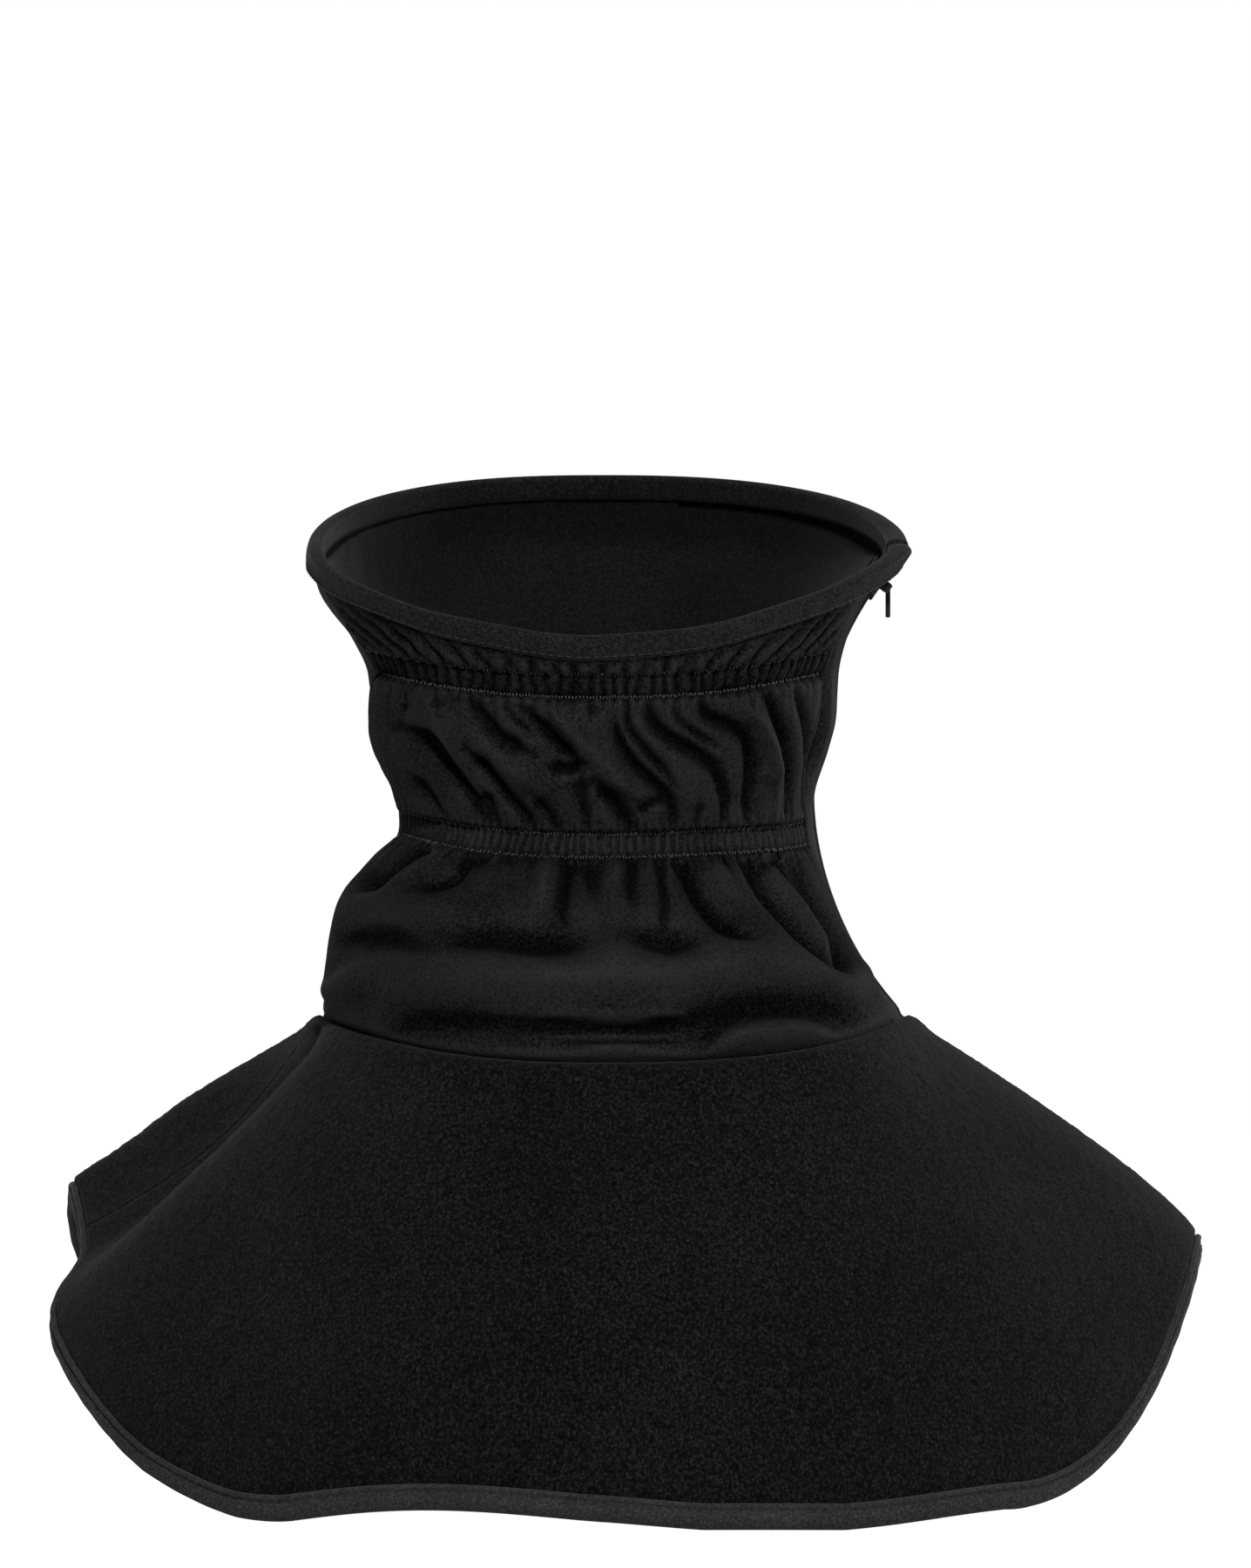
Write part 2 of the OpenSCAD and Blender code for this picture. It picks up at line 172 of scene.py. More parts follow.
def lower_line(a):
    return LOWER_NAPE + LOWER_RISE * cosd(a) ** 2 - LOWER_SAG * smooth((a - 285) / 50)


def upper_line(a):
    return UPPER_NAPE + UPPER_RISE * cosd(a) ** 2


def top_line(a):
    return TOP_NAPE + (TOP_NOSE - TOP_NAPE) * ((1 + sind(a)) / 2) ** 0.8


def zip_edge(z, reach):
    """Angle between the zip's middle and a panel's edge, at the front's or the back's reach."""
    return np.degrees(np.arcsin((ZIP_GAP / reach(z)) ** (NECK_SQUARE / 2)))


def noise(x, y, scale, seed=0, octaves=3):
    """Smooth value noise in two dimensions, from -1 to 1."""
    total, weight = np.zeros(np.broadcast(x, y).shape), 0.0
    for k in range(octaves):
        u = np.asarray(x, float) / scale * 2**k + 17.3 * seed + 5.1 * k
        v = np.asarray(y, float) / scale * 2**k + 9.7 * seed + 3.3 * k
        i, j = np.floor(u), np.floor(v)
        fu, fv = smooth(u - i), smooth(v - j)

        def corner(di, dj):
            h = np.sin((i + di) * 127.1 + (j + dj) * 311.7) * 43758.5453
            return 2 * (h - np.floor(h)) - 1

        low = corner(0, 0) * (1 - fu) + corner(1, 0) * fu
        high = corner(0, 1) * (1 - fu) + corner(1, 1) * fu
        total = total + (low * (1 - fv) + high * fv) / 2**k
        weight += 1 / 2**k
    return total / weight


# ---------------- mesh building


def unit(v):
    return v / np.maximum(np.linalg.norm(v, axis=-1, keepdims=True), 1e-9)


def steps_of(p, axis=0):
    """Distances between neighbouring points along one axis of a grid."""
    return np.linalg.norm(np.diff(p, axis=axis), axis=-1)


def travel(path):
    """Distance of each point of a path from its first point, along the path."""
    return np.r_[0, np.cumsum(steps_of(path))]


def normals_of(p):
    """Outward normals of a grid of points, rows upwards and columns anticlockwise."""
    return unit(np.cross(np.gradient(p, axis=1), np.gradient(p, axis=0)))


def make_object(name, verts, faces, material, body="garment", uv=None, nodes=(), solid=False):
    """A mesh that rides a body and stands for CAD nodes. The faces of a solid are turned outwards."""
    mesh = bpy.data.meshes.new(name)
    mesh.from_pydata((verts * MM).tolist(), [], faces)
    if solid:
        turned = bmesh.new()
        turned.from_mesh(mesh)
        bmesh.ops.recalc_face_normals(turned, faces=turned.faces)
        turned.to_mesh(mesh)
        turned.free()
    mesh.polygons.foreach_set("use_smooth", np.ones(len(mesh.polygons), bool))
    if uv is not None:
        layer = mesh.uv_layers.new(name="cloth")
        index = np.zeros(len(mesh.loops), np.int32)
        mesh.loops.foreach_get("vertex_index", index)
        layer.data.foreach_set("uv", (uv[index] * MM).astype(np.float32).ravel())
    if not solid:
        mesh.validate()
    mesh.materials.append(material)
    obj = bpy.data.objects.new(name, mesh)
    bpy.context.scene.collection.objects.link(obj)
    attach(obj, body)
    if nodes:
        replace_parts(obj, *nodes)
    return obj


def blurred(p, reaches):
    """A grid averaged over a block of neighbours, reaching so many rows and columns to each side."""
    for axis, reach in enumerate(reaches):
        q = np.concatenate([np.repeat(np.take(p, [0], axis), reach, axis), p,
                            np.repeat(np.take(p, [-1], axis), reach, axis)], axis)
        total = np.cumsum(q, axis)
        total = np.concatenate([np.zeros_like(np.take(total, [0], axis)), total], axis)
        n = p.shape[axis]
        high = np.take(total, range(2 * reach + 1, 2 * reach + 1 + n), axis)
        low = np.take(total, range(0, n), axis)
        p = (high - low) / (2 * reach + 1)
    return p


def hollows(p):
    """How far each point lies in a hollow (above 0) or on a crest (below 0), from about -1 to 1."""
    n = normals_of(p)
    cell_tall, cell_wide = steps_of(p, 0).mean(), steps_of(p, 1).mean()
    depth = 0.0
    # Three sizes of fold: its reach and its full depth in millimetres, and its share.
    for reach, full, share in ((1.6, 0.5, 0.35), (5.0, 1.6, 0.6), (10.0, 2.2, 1.0)):
        soft = blurred(p, [max(1, round(reach / cell)) for cell in (cell_tall, cell_wide)])
        depth = depth + share * ((soft - p) * n).sum(-1) / full
    return np.tanh(depth)


def paint_hollow_shade(obj, outer, share=1.0, painted_highlight=0.0):
    """Stores a share of the outer's hollows as painted shade, less a painted highlight, for the material. The
    inner face gets none.
    """
    depth = np.zeros(len(obj.data.vertices), np.float32)
    flat = (share * hollows(outer) - painted_highlight).astype(np.float32).ravel()
    depth[: len(flat)] = flat
    layer = obj.data.attributes.new("hollow", "FLOAT", "POINT")
    layer.data.foreach_set("value", depth)


def quads(rows, cols):
    """Faces of a grid of points, as rows of four point numbers."""
    r, c = np.meshgrid(np.arange(rows - 1), np.arange(cols - 1), indexing="ij")
    a = r * cols + c
    return np.stack([a, a + 1, a + 1 + cols, a + cols], -1).reshape(-1, 4)


def grid_uv(p):
    """Distances over the cloth, in millimetres, measured along its middle row and column."""
    rows, cols = p.shape[:2]
    return np.stack(np.meshgrid(travel(p[rows // 2]), travel(p[:, cols // 2])), -1)


def sheet(name, outer, thick, material, nodes, inner=None, crisp=False):
    """A closed piece of cloth: the outer grid, the same grid moved inwards, and the rims between them.

    Crisp rims are shaded flat."""
    if inner is None:
        inner = outer - normals_of(outer) * thick
    rows, cols = outer.shape[:2]
    count = rows * cols

    def rim(edge):
        return np.stack([edge[:-1], edge[1:], edge[1:] + count, edge[:-1] + count], -1)

    low, left = np.arange(cols), np.arange(rows) * cols
    border = np.concatenate([rim(low[::-1]), rim(low + count - cols), rim(left), rim(left[::-1] + cols - 1)])
    cells = quads(rows, cols)
    faces = np.concatenate([cells, cells[:, ::-1] + count, border])
    verts = np.concatenate([outer.reshape(-1, 3), inner.reshape(-1, 3)])
    uv = np.tile(grid_uv((outer + inner) / 2).reshape(-1, 2), (2, 1))
    obj = make_object(name, verts, faces.tolist(), material, uv=uv, nodes=nodes)
    if crisp:
        for face in obj.data.polygons[-len(border):]:
            face.use_smooth = False
    return obj


def sweep(name, sections, material, ring=False, body="garment", nodes=()):
    """A closed solid through a row of closed sections, each an array of points. A ring meets its start."""
    s = np.asarray(sections, float)
    count, size = s.shape[:2]
    k, j = np.meshgrid(np.arange(count if ring else count - 1), np.arange(size), indexing="ij")
    m, i = (k + 1) % count, (j + 1) % size
    faces = np.stack([k * size + j, k * size + i, m * size + i, m * size + j], -1).reshape(-1, 4).tolist()
    if not ring:
        faces += [list(range(size))[::-1], list(range((count - 1) * size, count * size))]
    uv = np.stack(np.meshgrid(travel(s[:, 0]), travel(s[0]), indexing="ij"), -1).reshape(-1, 2)
    return make_object(name, s.reshape(-1, 3), faces, material, body, uv, nodes, solid=True)


def tube_sections(path, radius, sides):
    """Round sections along a path, for sweep()."""
    along = unit(np.gradient(path, axis=0))
    across = [unit(np.cross(along[0], [0.31, 0.22, 0.93]))]
    for t in along[1:]:
        across.append(unit(across[-1] - t * np.dot(across[-1], t)))
    across = np.array(across)[:, None]
    other = np.cross(along[:, None], across)
    turn = (2 * np.pi * np.arange(sides) / sides)[:, None]
    return path[:, None] + radius * (across * np.cos(turn) + other * np.sin(turn))


def stitches(name, centres, along, normals, length, radius, material, nodes):
    """Many short rounded stitches in one piece: a capsule of six rings at each centre, its ends sunk."""
    sides = 6
    steps = [-1.0, -0.86, -0.45, 0.45, 0.86, 1.0]
    fat = [0.25, 0.72, 1.0, 1.0, 0.72, 0.25]
    along = unit(along)
    normals = unit(normals - along * (normals * along).sum(-1, keepdims=True))
    across = np.cross(normals, along)
    verts = np.zeros((len(centres), len(steps), sides, 3))
    for k, (s, f) in enumerate(zip(steps, fat)):
        spine = centres + along * (s * length / 2) - normals * (0.35 * radius * s * s)
        for q in range(sides):
            t = 2 * math.pi * q / sides
            verts[:, k, q] = spine + radius * f * (across * math.cos(t) + normals * math.sin(t))
    size = len(steps) * sides
    ring = np.arange(sides)
    wall = np.stack([ring, (ring + 1) % sides, (ring + 1) % sides + sides, ring + sides], -1)
    walls = np.concatenate([wall + k for k in range(0, size - sides, sides)])
    caps = np.stack([ring[::-1], ring + size - sides])
    first = (np.arange(len(centres)) * size)[:, None, None]
    faces = (walls + first).reshape(-1, 4).tolist() + (caps + first).reshape(-1, sides).tolist()
    make_object(name, verts.reshape(-1, 3), faces, material, nodes=nodes, solid=True)


# ---------------- materials


class Shader:
    """Builds a node material around one Principled shader. Lengths are in millimetres."""

    def __init__(self, name):
        self.mat = bpy.data.materials.new(name)
        self.mat.use_nodes = True
        self.tree = self.mat.node_tree
        self.out = self.tree.nodes["Principled BSDF"]
        self.coords = self.tree.nodes.new("ShaderNodeTexCoord")

    def plug(self, socket, value):
        """Sets an input to a plain value, or links it to another node's output."""
        if isinstance(value, bpy.types.NodeSocket):
            self.tree.links.new(value, socket)
        else:
            socket.default_value = value

    def set(self, **values):
        for key, value in values.items():
            self.plug(self.out.inputs[key.replace("_", " ")], value)

    def node(self, kind, **values):
        node = self.tree.nodes.new("ShaderNode" + kind)
        for key, value in values.items():
            self.plug(node.inputs[key], value)
        return node

    def noise(self, size, detail=3.0, rough=0.55, stretch=(1, 1, 1), distortion=0.0):
        scaled = self.node("Mapping", Vector=self.coords.outputs["Object"], Scale=stretch)
        return self.node("TexNoise", Vector=scaled.outputs["Vector"], Scale=1 / (size * MM), Detail=detail,
                         Roughness=rough, Distortion=distortion).outputs["Fac"]

    def cells(self, size, smoothness):
        node = self.node("TexVoronoi", Vector=self.coords.outputs["Object"], Scale=1 / (size * MM))
        node.feature = "SMOOTH_F1"
        self.plug(node.inputs["Smoothness"], smoothness)
        return node.outputs["Distance"]

    def bands(self, size, axis, space="UV"):
        node = self.node("TexWave", Vector=self.coords.outputs[space], Scale=2 * math.pi / (20 * size * MM),
                         Distortion=0.0, Detail=1.0)
        node.bands_direction = axis
        return node.outputs["Fac"]

    def math(self, operation, *values):
        node = self.node("Math")
        node.operation = operation
        for socket, value in zip(node.inputs, values):
            self.plug(socket, value)
        return node.outputs[0]

    def total(self, *terms, base=0.0):
        """The base plus every value times its weight."""
        for value, weight in terms:
            base = self.math("MULTIPLY_ADD", value, weight, base)
        return base

    def ramp(self, value, *stops):
        node = self.node("ValToRGB", Fac=value)
        elements = node.color_ramp.elements
        while len(elements) < len(stops):
            elements.new(0.5)
        for element, (place, colour) in zip(elements, stops):
            element.position = place
            element.color = (*colour, 1.0)
        return node.outputs["Color"]

    def mix(self, share, first, second):
        return self.node("MixRGB", Fac=share, Color1=first, Color2=second).outputs["Color"]

    def bump(self, height, size, strength=1.0):
        """Lays one more bump over those already there."""
        node = self.node("Bump", Distance=size * MM, Strength=strength, Height=height)
        normal = self.out.inputs["Normal"]
        if normal.is_linked:
            self.plug(node.inputs["Normal"], normal.links[0].from_socket)
        self.plug(normal, node.outputs["Normal"])


def knit_cloth(name, dark, light, rough, sheen, fuzz=0.25, mottling=1.1):
    """Fine jersey-faced cloth: wales and courses, a short brushed nap, uneven dye and a few specks of lint.

    Painted shade darkens the hollows stored on the mesh, and darker yarn reflects less."""
    s = Shader(name)
    patches = s.noise(24.0, 2.0)
    mottle = s.noise(mottling, 4.0, 0.7)
    grain = s.noise(0.8, 4.0, 0.85)
    hollow = s.node("Attribute")
    hollow.attribute_name = "hollow"
    # the stored hollows darken the tone: painted shade in the folds
    tone = s.total((patches, 0.2), (mottle, 0.35), (grain, 1.05), (hollow.outputs["Fac"], -0.15), base=-0.30)
    middle = tuple(0.6 * a + 0.28 * b for a, b in zip(dark, light))
    lint = s.math("GREATER_THAN", s.noise(1.7, 2.0, 0.5), 0.80)
    colour = s.ramp(tone, (0.36, dark), (0.50, middle), (0.68, light))
    s.set(Base_Color=s.mix(s.math("MULTIPLY", lint, 0.5), colour, (0.12, 0.115, 0.12, 1)),
          Roughness=s.total((mottle, 0.2), base=rough - 0.1),
          Specular_IOR_Level=s.math("MAXIMUM", s.total((tone, 0.5), base=-0.16), 0.0),
          Sheen_Weight=sheen, Sheen_Roughness=0.45, Sheen_Tint=(0.85, 0.82, 0.92, 1))
    wale = 0.55
    s.bump(s.math("MULTIPLY", s.bands(wale, "X"), s.bands(wale * 0.8, "Y")), 0.035)
    s.bump(s.noise(fuzz, 3.0, 0.7), 0.06)
    s.bump(mottle, 0.10)
    return s.mat


def fleece_cloth(name):
    """Brushed fleece: small matted tufts with dark pits between them, and a fine grain."""
    s = Shader(name)
    tufts = s.noise(0.95, 5.0, 0.72, stretch=(1.25, 1.25, 0.7), distortion=0.3)
    pits = s.cells(0.95, 0.5)
    fine = s.noise(0.28, 3.0, 0.7)
    clumps = s.noise(5.5, 3.0, 0.6)
    patches = s.noise(45.0, 2.0)
    height = s.total((tufts, 0.9), (pits, -0.35))
    tone = s.total((height, 0.9), (patches, 0.12), (fine, 0.22))
    colour = s.ramp(tone, (0.28, (0.0008, 0.0008, 0.0007)), (0.44, (0.0072, 0.0072, 0.0067)),
                    (0.60, (0.0300, 0.0300, 0.0280)))
    s.set(Base_Color=colour, Roughness=s.total((fine, 0.12), base=0.86), Specular_IOR_Level=0.06,
          Sheen_Weight=0.10, Sheen_Roughness=0.5, Sheen_Tint=(0.86, 0.87, 0.84, 1))
    s.bump(clumps, 0.35, 0.5)
    s.bump(height, 0.30)
    s.bump(fine, 0.10)
    return s.mat


def thread_yarn(name, tone):
    s = Shader(name)
    twist = s.noise(0.35, 2.0, 0.5)
    s.set(Base_Color=s.ramp(twist, (0.3, tuple(0.6 * v for v in tone)), (0.7, tone)),
          Roughness=0.5, Sheen_Weight=0.2, Specular_IOR_Level=0.35)
    s.bump(twist, 0.08)
    return s.mat


def woven_tape(name, dark, light, rib_pitch=0.7):
    s = Shader(name)
    weave = s.math("MULTIPLY", s.bands(rib_pitch, "Z", "Object"), s.bands(rib_pitch, "Y", "Object"))
    grain = s.noise(0.5, 3.0, 0.6)
    tone = s.total((weave, 0.6), (grain, 0.4))
    s.set(Base_Color=s.ramp(tone, (0.2, dark), (0.8, light)), Roughness=s.total((grain, 0.2), base=0.6),
          Sheen_Weight=0.15, Specular_IOR_Level=0.25)
    s.bump(weave, 0.12)
    s.bump(grain, 0.05)
    return s.mat


def moulded_plastic(name, dark, light):
    s = Shader(name)
    grain = s.noise(0.8, 3.0, 0.6)
    s.set(Base_Color=s.ramp(grain, (0.3, dark), (0.7, light)), Roughness=s.total((grain, 0.25), base=0.28))
    s.bump(s.noise(0.3, 2.0), 0.02)
    return s.mat


def painted_metal(name):
    """Black paint over zinc, rubbed to grey on raised edges."""
    s = Shader(name)
    scuffs = s.noise(0.7, 4.0, 0.65)
    raised = s.node("NewGeometry").outputs["Pointiness"]
    edge = s.math("GREATER_THAN", s.total((scuffs, 0.10), base=raised), 0.60)
    worn_and_lit = s.mix(s.math("MULTIPLY", edge, 0.6), (0.018, 0.018, 0.020, 1), (0.22, 0.22, 0.23, 1))
    s.set(Base_Color=worn_and_lit, Metallic=s.math("MULTIPLY", edge, 0.8),
          Roughness=s.total((scuffs, 0.25), base=0.3))
    s.bump(scuffs, 0.02)
    return s.mat


# One softshell in two copies: the gathered panel's is darker as painted shade, the smooth panels' lighter as
# painted light from the side lamp.
SOFTSHELL_SHADED = knit_cloth("softshell_gathered", (0.0020, 0.0017, 0.0022), (0.0205, 0.0182, 0.0220), 0.62, 0.035)
SOFTSHELL_LIT = knit_cloth("softshell_smooth", (0.0045, 0.0040, 0.0050), (0.0260, 0.0240, 0.0282), 0.58, 0.08)
BRUSHED = knit_cloth("jersey_band", (0.0090, 0.0076, 0.0092), (0.0340, 0.0300, 0.0352), 0.75, 0.12,
                     mottling=0.8)
JERSEY = knit_cloth("jersey", (0.0260, 0.0242, 0.0270), (0.0740, 0.0700, 0.0770), 0.68, 0.2, mottling=0.8)
LINING = knit_cloth("lining", (0.008, 0.008, 0.0085), (0.019, 0.019, 0.020), 0.85, 0.12, fuzz=0.5,
                    mottling=1.6)
FLEECE = fleece_cloth("fleece")
THREAD = thread_yarn("thread", (0.085, 0.080, 0.092))
BAND_THREAD = thread_yarn("thread_dark", (0.024, 0.021, 0.025))
TAPE = woven_tape("zip_tape", (0.006, 0.006, 0.0065), (0.02, 0.02, 0.021))
ELASTIC = woven_tape("elastic", (0.4, 0.39, 0.36), (0.7, 0.69, 0.66), 0.9)
COIL = moulded_plastic("zip_coil", (0.006, 0.006, 0.006), (0.015, 0.015, 0.015))
METAL = painted_metal("zip_metal")

# ---------------- the gathered back panel


def stroke(width, height, ends, *points, sharp=1.5, below=None, floor=0.0):
    """A crease (negative height) or ridge along a smooth line through points given as back-view X and Z.

    Its height fades towards both ends, over the given shares of its length and down to the floor. Below the
    line it can have another width."""
    pts = np.array(points, float)
    knots = travel(pts)
    fine = np.linspace(0, knots[-1], 40)
    line = np.stack([np.interp(fine, knots, pts[:, k]) for k in range(2)], -1)
    for _ in range(12):
        line[1:-1] = (line[:-2] + 2 * line[1:-1] + line[2:]) / 4
    return line, width, height, sharp, below or width, ends, floor


def crease(width, height, *points):
    """A stroke that keeps a quarter of its height at its ends."""
    return stroke(width, height, (0.22, 0.22), *points, floor=0.25)


def dent_field(dents, x, z):
    """Soft oval hollows (negative height) and swellings, turned by tilt degrees and added up over (x, z)."""
    total = np.zeros(x.shape)
    for dx, dz, half_x, half_z, tilt, height in dents:
        u = (x - dx) * cosd(tilt) + (z - dz) * sind(tilt)
        v = (z - dz) * cosd(tilt) - (x - dx) * sind(tilt)
        total = total + height * np.exp(-((u / half_x) ** 2) - (v / half_z) ** 2)
    return total


def stroke_field(strokes, x, z):
    """All strokes added up over the points (x, z).

    Each has a crest, and a shoulder of 28% that reaches 2.6 times as far. The width changes within 3 mm of
    the line and narrows towards the ends."""
    total = np.zeros(x.shape)
    for line, width, height, sharp, below, ends, floor in strokes:
        best = np.full(x.shape, 1e9)
        place = np.zeros(x.shape)
        over = np.ones(x.shape)
        for k in range(len(line) - 1):
            a, d = line[k], line[k + 1] - line[k]
            t = np.clip(((x - a[0]) * d[0] + (z - a[1]) * d[1]) / max(d @ d, 1e-9), 0, 1)
            right, up = x - a[0] - t * d[0], z - a[1] - t * d[1]
            gap = np.hypot(right, up)
            closer = gap < best
            best = np.where(closer, gap, best)
            over = np.where(closer, up, over)
            place = np.where(closer, (k + t) / (len(line) - 1), place)
        fade = smooth(place / ends[0]) * smooth((1 - place) / ends[1]) * (1 - floor) + floor
        wide = (width + (below - width) * smooth(0.5 - over / 3.0)) * (0.6 + 0.4 * fade)
        crest = np.exp(-((best / wide) ** sharp))
        total = total + height * fade * (crest + 0.28 * bell(best, 2.6 * wide))
    return total


# Creases between the two channels, from left to right.
MIDDLE_STROKES = [
    crease(1.3, -1.0, (-58, 245), (-57, 232)),
    crease(2.6, -3.7, (-58, 229.5), (-50, 225), (-44, 218), (-39, 211), (-35, 205), (-32, 197)),
    crease(1.5, -1.6, (-55, 216), (-50, 209), (-47, 203), (-45, 197)),
    crease(1.1, -1.1, (-50, 245), (-48, 233)),
    crease(1.3, -1.1, (-45, 245), (-44, 234)),
    crease(2.2, -2.9, (-44, 244), (-41, 239), (-35, 232), (-29, 225), (-20, 221.5)),
    crease(1.9, -2.7, (-39, 223), (-33, 217), (-27, 209), (-21, 202), (-18, 196)),
    crease(1.4, -1.4, (-35, 211), (-31, 203), (-30, 197)),
    crease(1.2, -1.2, (-33, 244), (-26, 231), (-19, 226)),
    crease(1.8, -2.9, (-26, 236), (-18, 229.5), (-10, 223), (-6, 220)),
    crease(1.5, -1.9, (-15, 217.5), (-9, 217), (-5, 219)),
    crease(2.0, -2.0, (-20, 209), (-16, 205), (-13, 200), (-12, 195)),
    crease(1.7, -1.4, (-11, 244), (-10, 233)),
    crease(2.6, -1.4, (-6, 216), (-5, 207), (-3, 196)),
    crease(1.3, -1.1, (-3, 244), (-2, 231)),
    crease(2.3, -2.7, (-1, 213), (4, 207), (8, 200), (9, 195)),
    crease(1.6, -2.7, (3, 233), (4, 226), (8, 219.5), (14, 214), (19, 210.5), (21, 205), (22, 195)),
    crease(1.2, -1.8, (8, 244), (7, 229), (13, 222), (18, 217), (21, 212)),
    crease(1.3, -1.6, (10, 204), (14, 207), (19, 209)),
    crease(1.9, -3.0, (12, 243), (13, 234), (16, 227.5), (24, 223.5), (31, 220), (35, 214), (37, 207),
           (35, 196)),
    crease(1.1, -1.3, (19, 244), (22, 231), (28, 226.5), (36, 222)),
    crease(1.4, -1.2, (29, 208), (27, 196)),
    crease(1.9, -3.0, (28, 243), (30, 231), (37, 230.5), (43, 226), (44, 216), (43, 208), (44, 196)),
    crease(1.8, -2.9, (46, 246), (51, 233), (54, 224), (56, 213), (56, 196)),
    crease(1.5, -1.8, (56, 246), (60, 230), (61, 219), (60, 198)),
    crease(2.2, 1.3, (-51, 236), (-45, 225), (-39, 214), (-33, 205)),
    crease(2.1, 2.0, (-15, 234), (-7, 226), (0, 219), (6, 212), (11, 209)),
    crease(3.4, 0.9, (-37, 227), (-27, 217), (-18, 212)),
    crease(2.2, 1.2, (38, 237), (46, 231), (50, 221), (51, 210)),
]

# Creases and ridges below the lower channel, from left to right, then the swag above the seam.
SKIRT_STROKES = [
    stroke(2.1, -3.0, (0.05, 0.3), (-50, 197), (-60, 189), (-72, 180)),
    stroke(1.9, 1.5, (0.1, 0.5), (-46, 195), (-56, 187), (-66, 180)),
    stroke(2.0, -2.6, (0.05, 0.6), (-37, 197), (-41, 186.5), (-48, 183), (-59, 181)),
    stroke(2.8, -3.4, (0.4, 0.5), (-77, 165), (-68, 170), (-58, 169), (-45, 162), sharp=2.0, below=4.6),
    stroke(3.0, 1.8, (0.2, 0.5), (-82, 150), (-73, 155), (-62, 161), sharp=2.0),
    stroke(1.7, -1.6, (0.05, 0.8), (-34, 197), (-35, 186)),
    stroke(1.6, -1.5, (0.05, 0.8), (-27, 197), (-26, 186)),
    stroke(1.4, -1.1, (0.05, 0.8), (-20, 197), (-21, 181)),
    stroke(2.6, 1.5, (0.2, 0.6), (-15, 192), (-17, 183), (-18, 176)),
    stroke(1.7, -3.0, (0.05, 0.6), (-8.5, 197), (-10, 184), (-11, 176), (-9, 168)),
    stroke(2.4, -2.0, (0.05, 0.7), (-4, 197), (-3, 185), (0, 176)),
    stroke(2.2, 1.0, (0.2, 0.6), (4, 192), (5, 183)),
    stroke(1.7, -1.9, (0.05, 0.6), (9, 197), (8, 184), (10, 172)),
    stroke(1.5, -1.5, (0.05, 0.4), (16, 197), (18, 180), (17.5, 166)),
    stroke(2.1, -3.2, (0.05, 0.4), (22, 197), (26, 182), (31, 174), (38, 168), (48, 165)),
    stroke(1.8, 1.0, (0.2, 0.6), (31, 193), (35, 184), (42, 175)),
    stroke(1.5, -1.4, (0.05, 0.8), (34, 197), (38, 186)),
    stroke(2.2, -3.3, (0.05, 0.3), (41, 197), (47, 181), (54, 172), (61, 164), (70, 156)),
    stroke(2.2, 1.8, (0.1, 0.3), (48, 191), (56, 179), (62, 170), (68, 160)),
    stroke(2.9, -4.6, (0.05, 0.15), (52, 195), (57, 186), (63, 177), (68, 168), (71, 155)),
    stroke(7.5, 2.6, (0.15, 0.1), (-70, 152), (-40, 157.5), (-15, 157.5), (5, 156.5), (25, 159),
           (45, 162.5), (60, 160), (80, 150), sharp=2.0, below=5.5),
    stroke(6.0, -3.9, (0.16, 0.14), (-72, 141), (-50, 143), (-30, 141.5), (-10, 138.5), (6, 136.5),
           (17, 136), (26, 142), (36, 148), (48, 151), (60, 150), (70, 147), (82, 141), sharp=2.0,
           below=5.0),
    stroke(4.2, 2.4, (0.3, 0.3), (26, 138), (42, 141.5), (58, 143.5), (74, 142), sharp=2.0),
]

# Soft hollows between them: X, Z, half width, half height, tilt and height.
SKIRT_DENTS = [
    (-20, 166, 15, 4.8, -6, -4.6),
    (-14, 172, 6, 7, 0, -1.4),
    (-36, 166, 6, 3.5, 20, -1.0),
    (18, 166, 9, 4.6, -14, -4.0),
    (8, 140, 20, 4.5, 0, -1.2),
    (-64, 160, 10, 5, 25, 1.2),
    (2, 163, 6, 5, 0, 0.8),
    (-48, 174, 10, 5, -10, 1.0),
]


def rib(g, spacing, seed):
    """Rounded gathers with sharp valleys, from 0 to 1, unevenly spaced along g."""
    g = g + 0.32 * spacing * noise(g, seed * 3.0 + 0 * g, spacing * 2.2, seed, 2)
    return np.abs(np.sin(np.pi * g / spacing)) ** 0.9


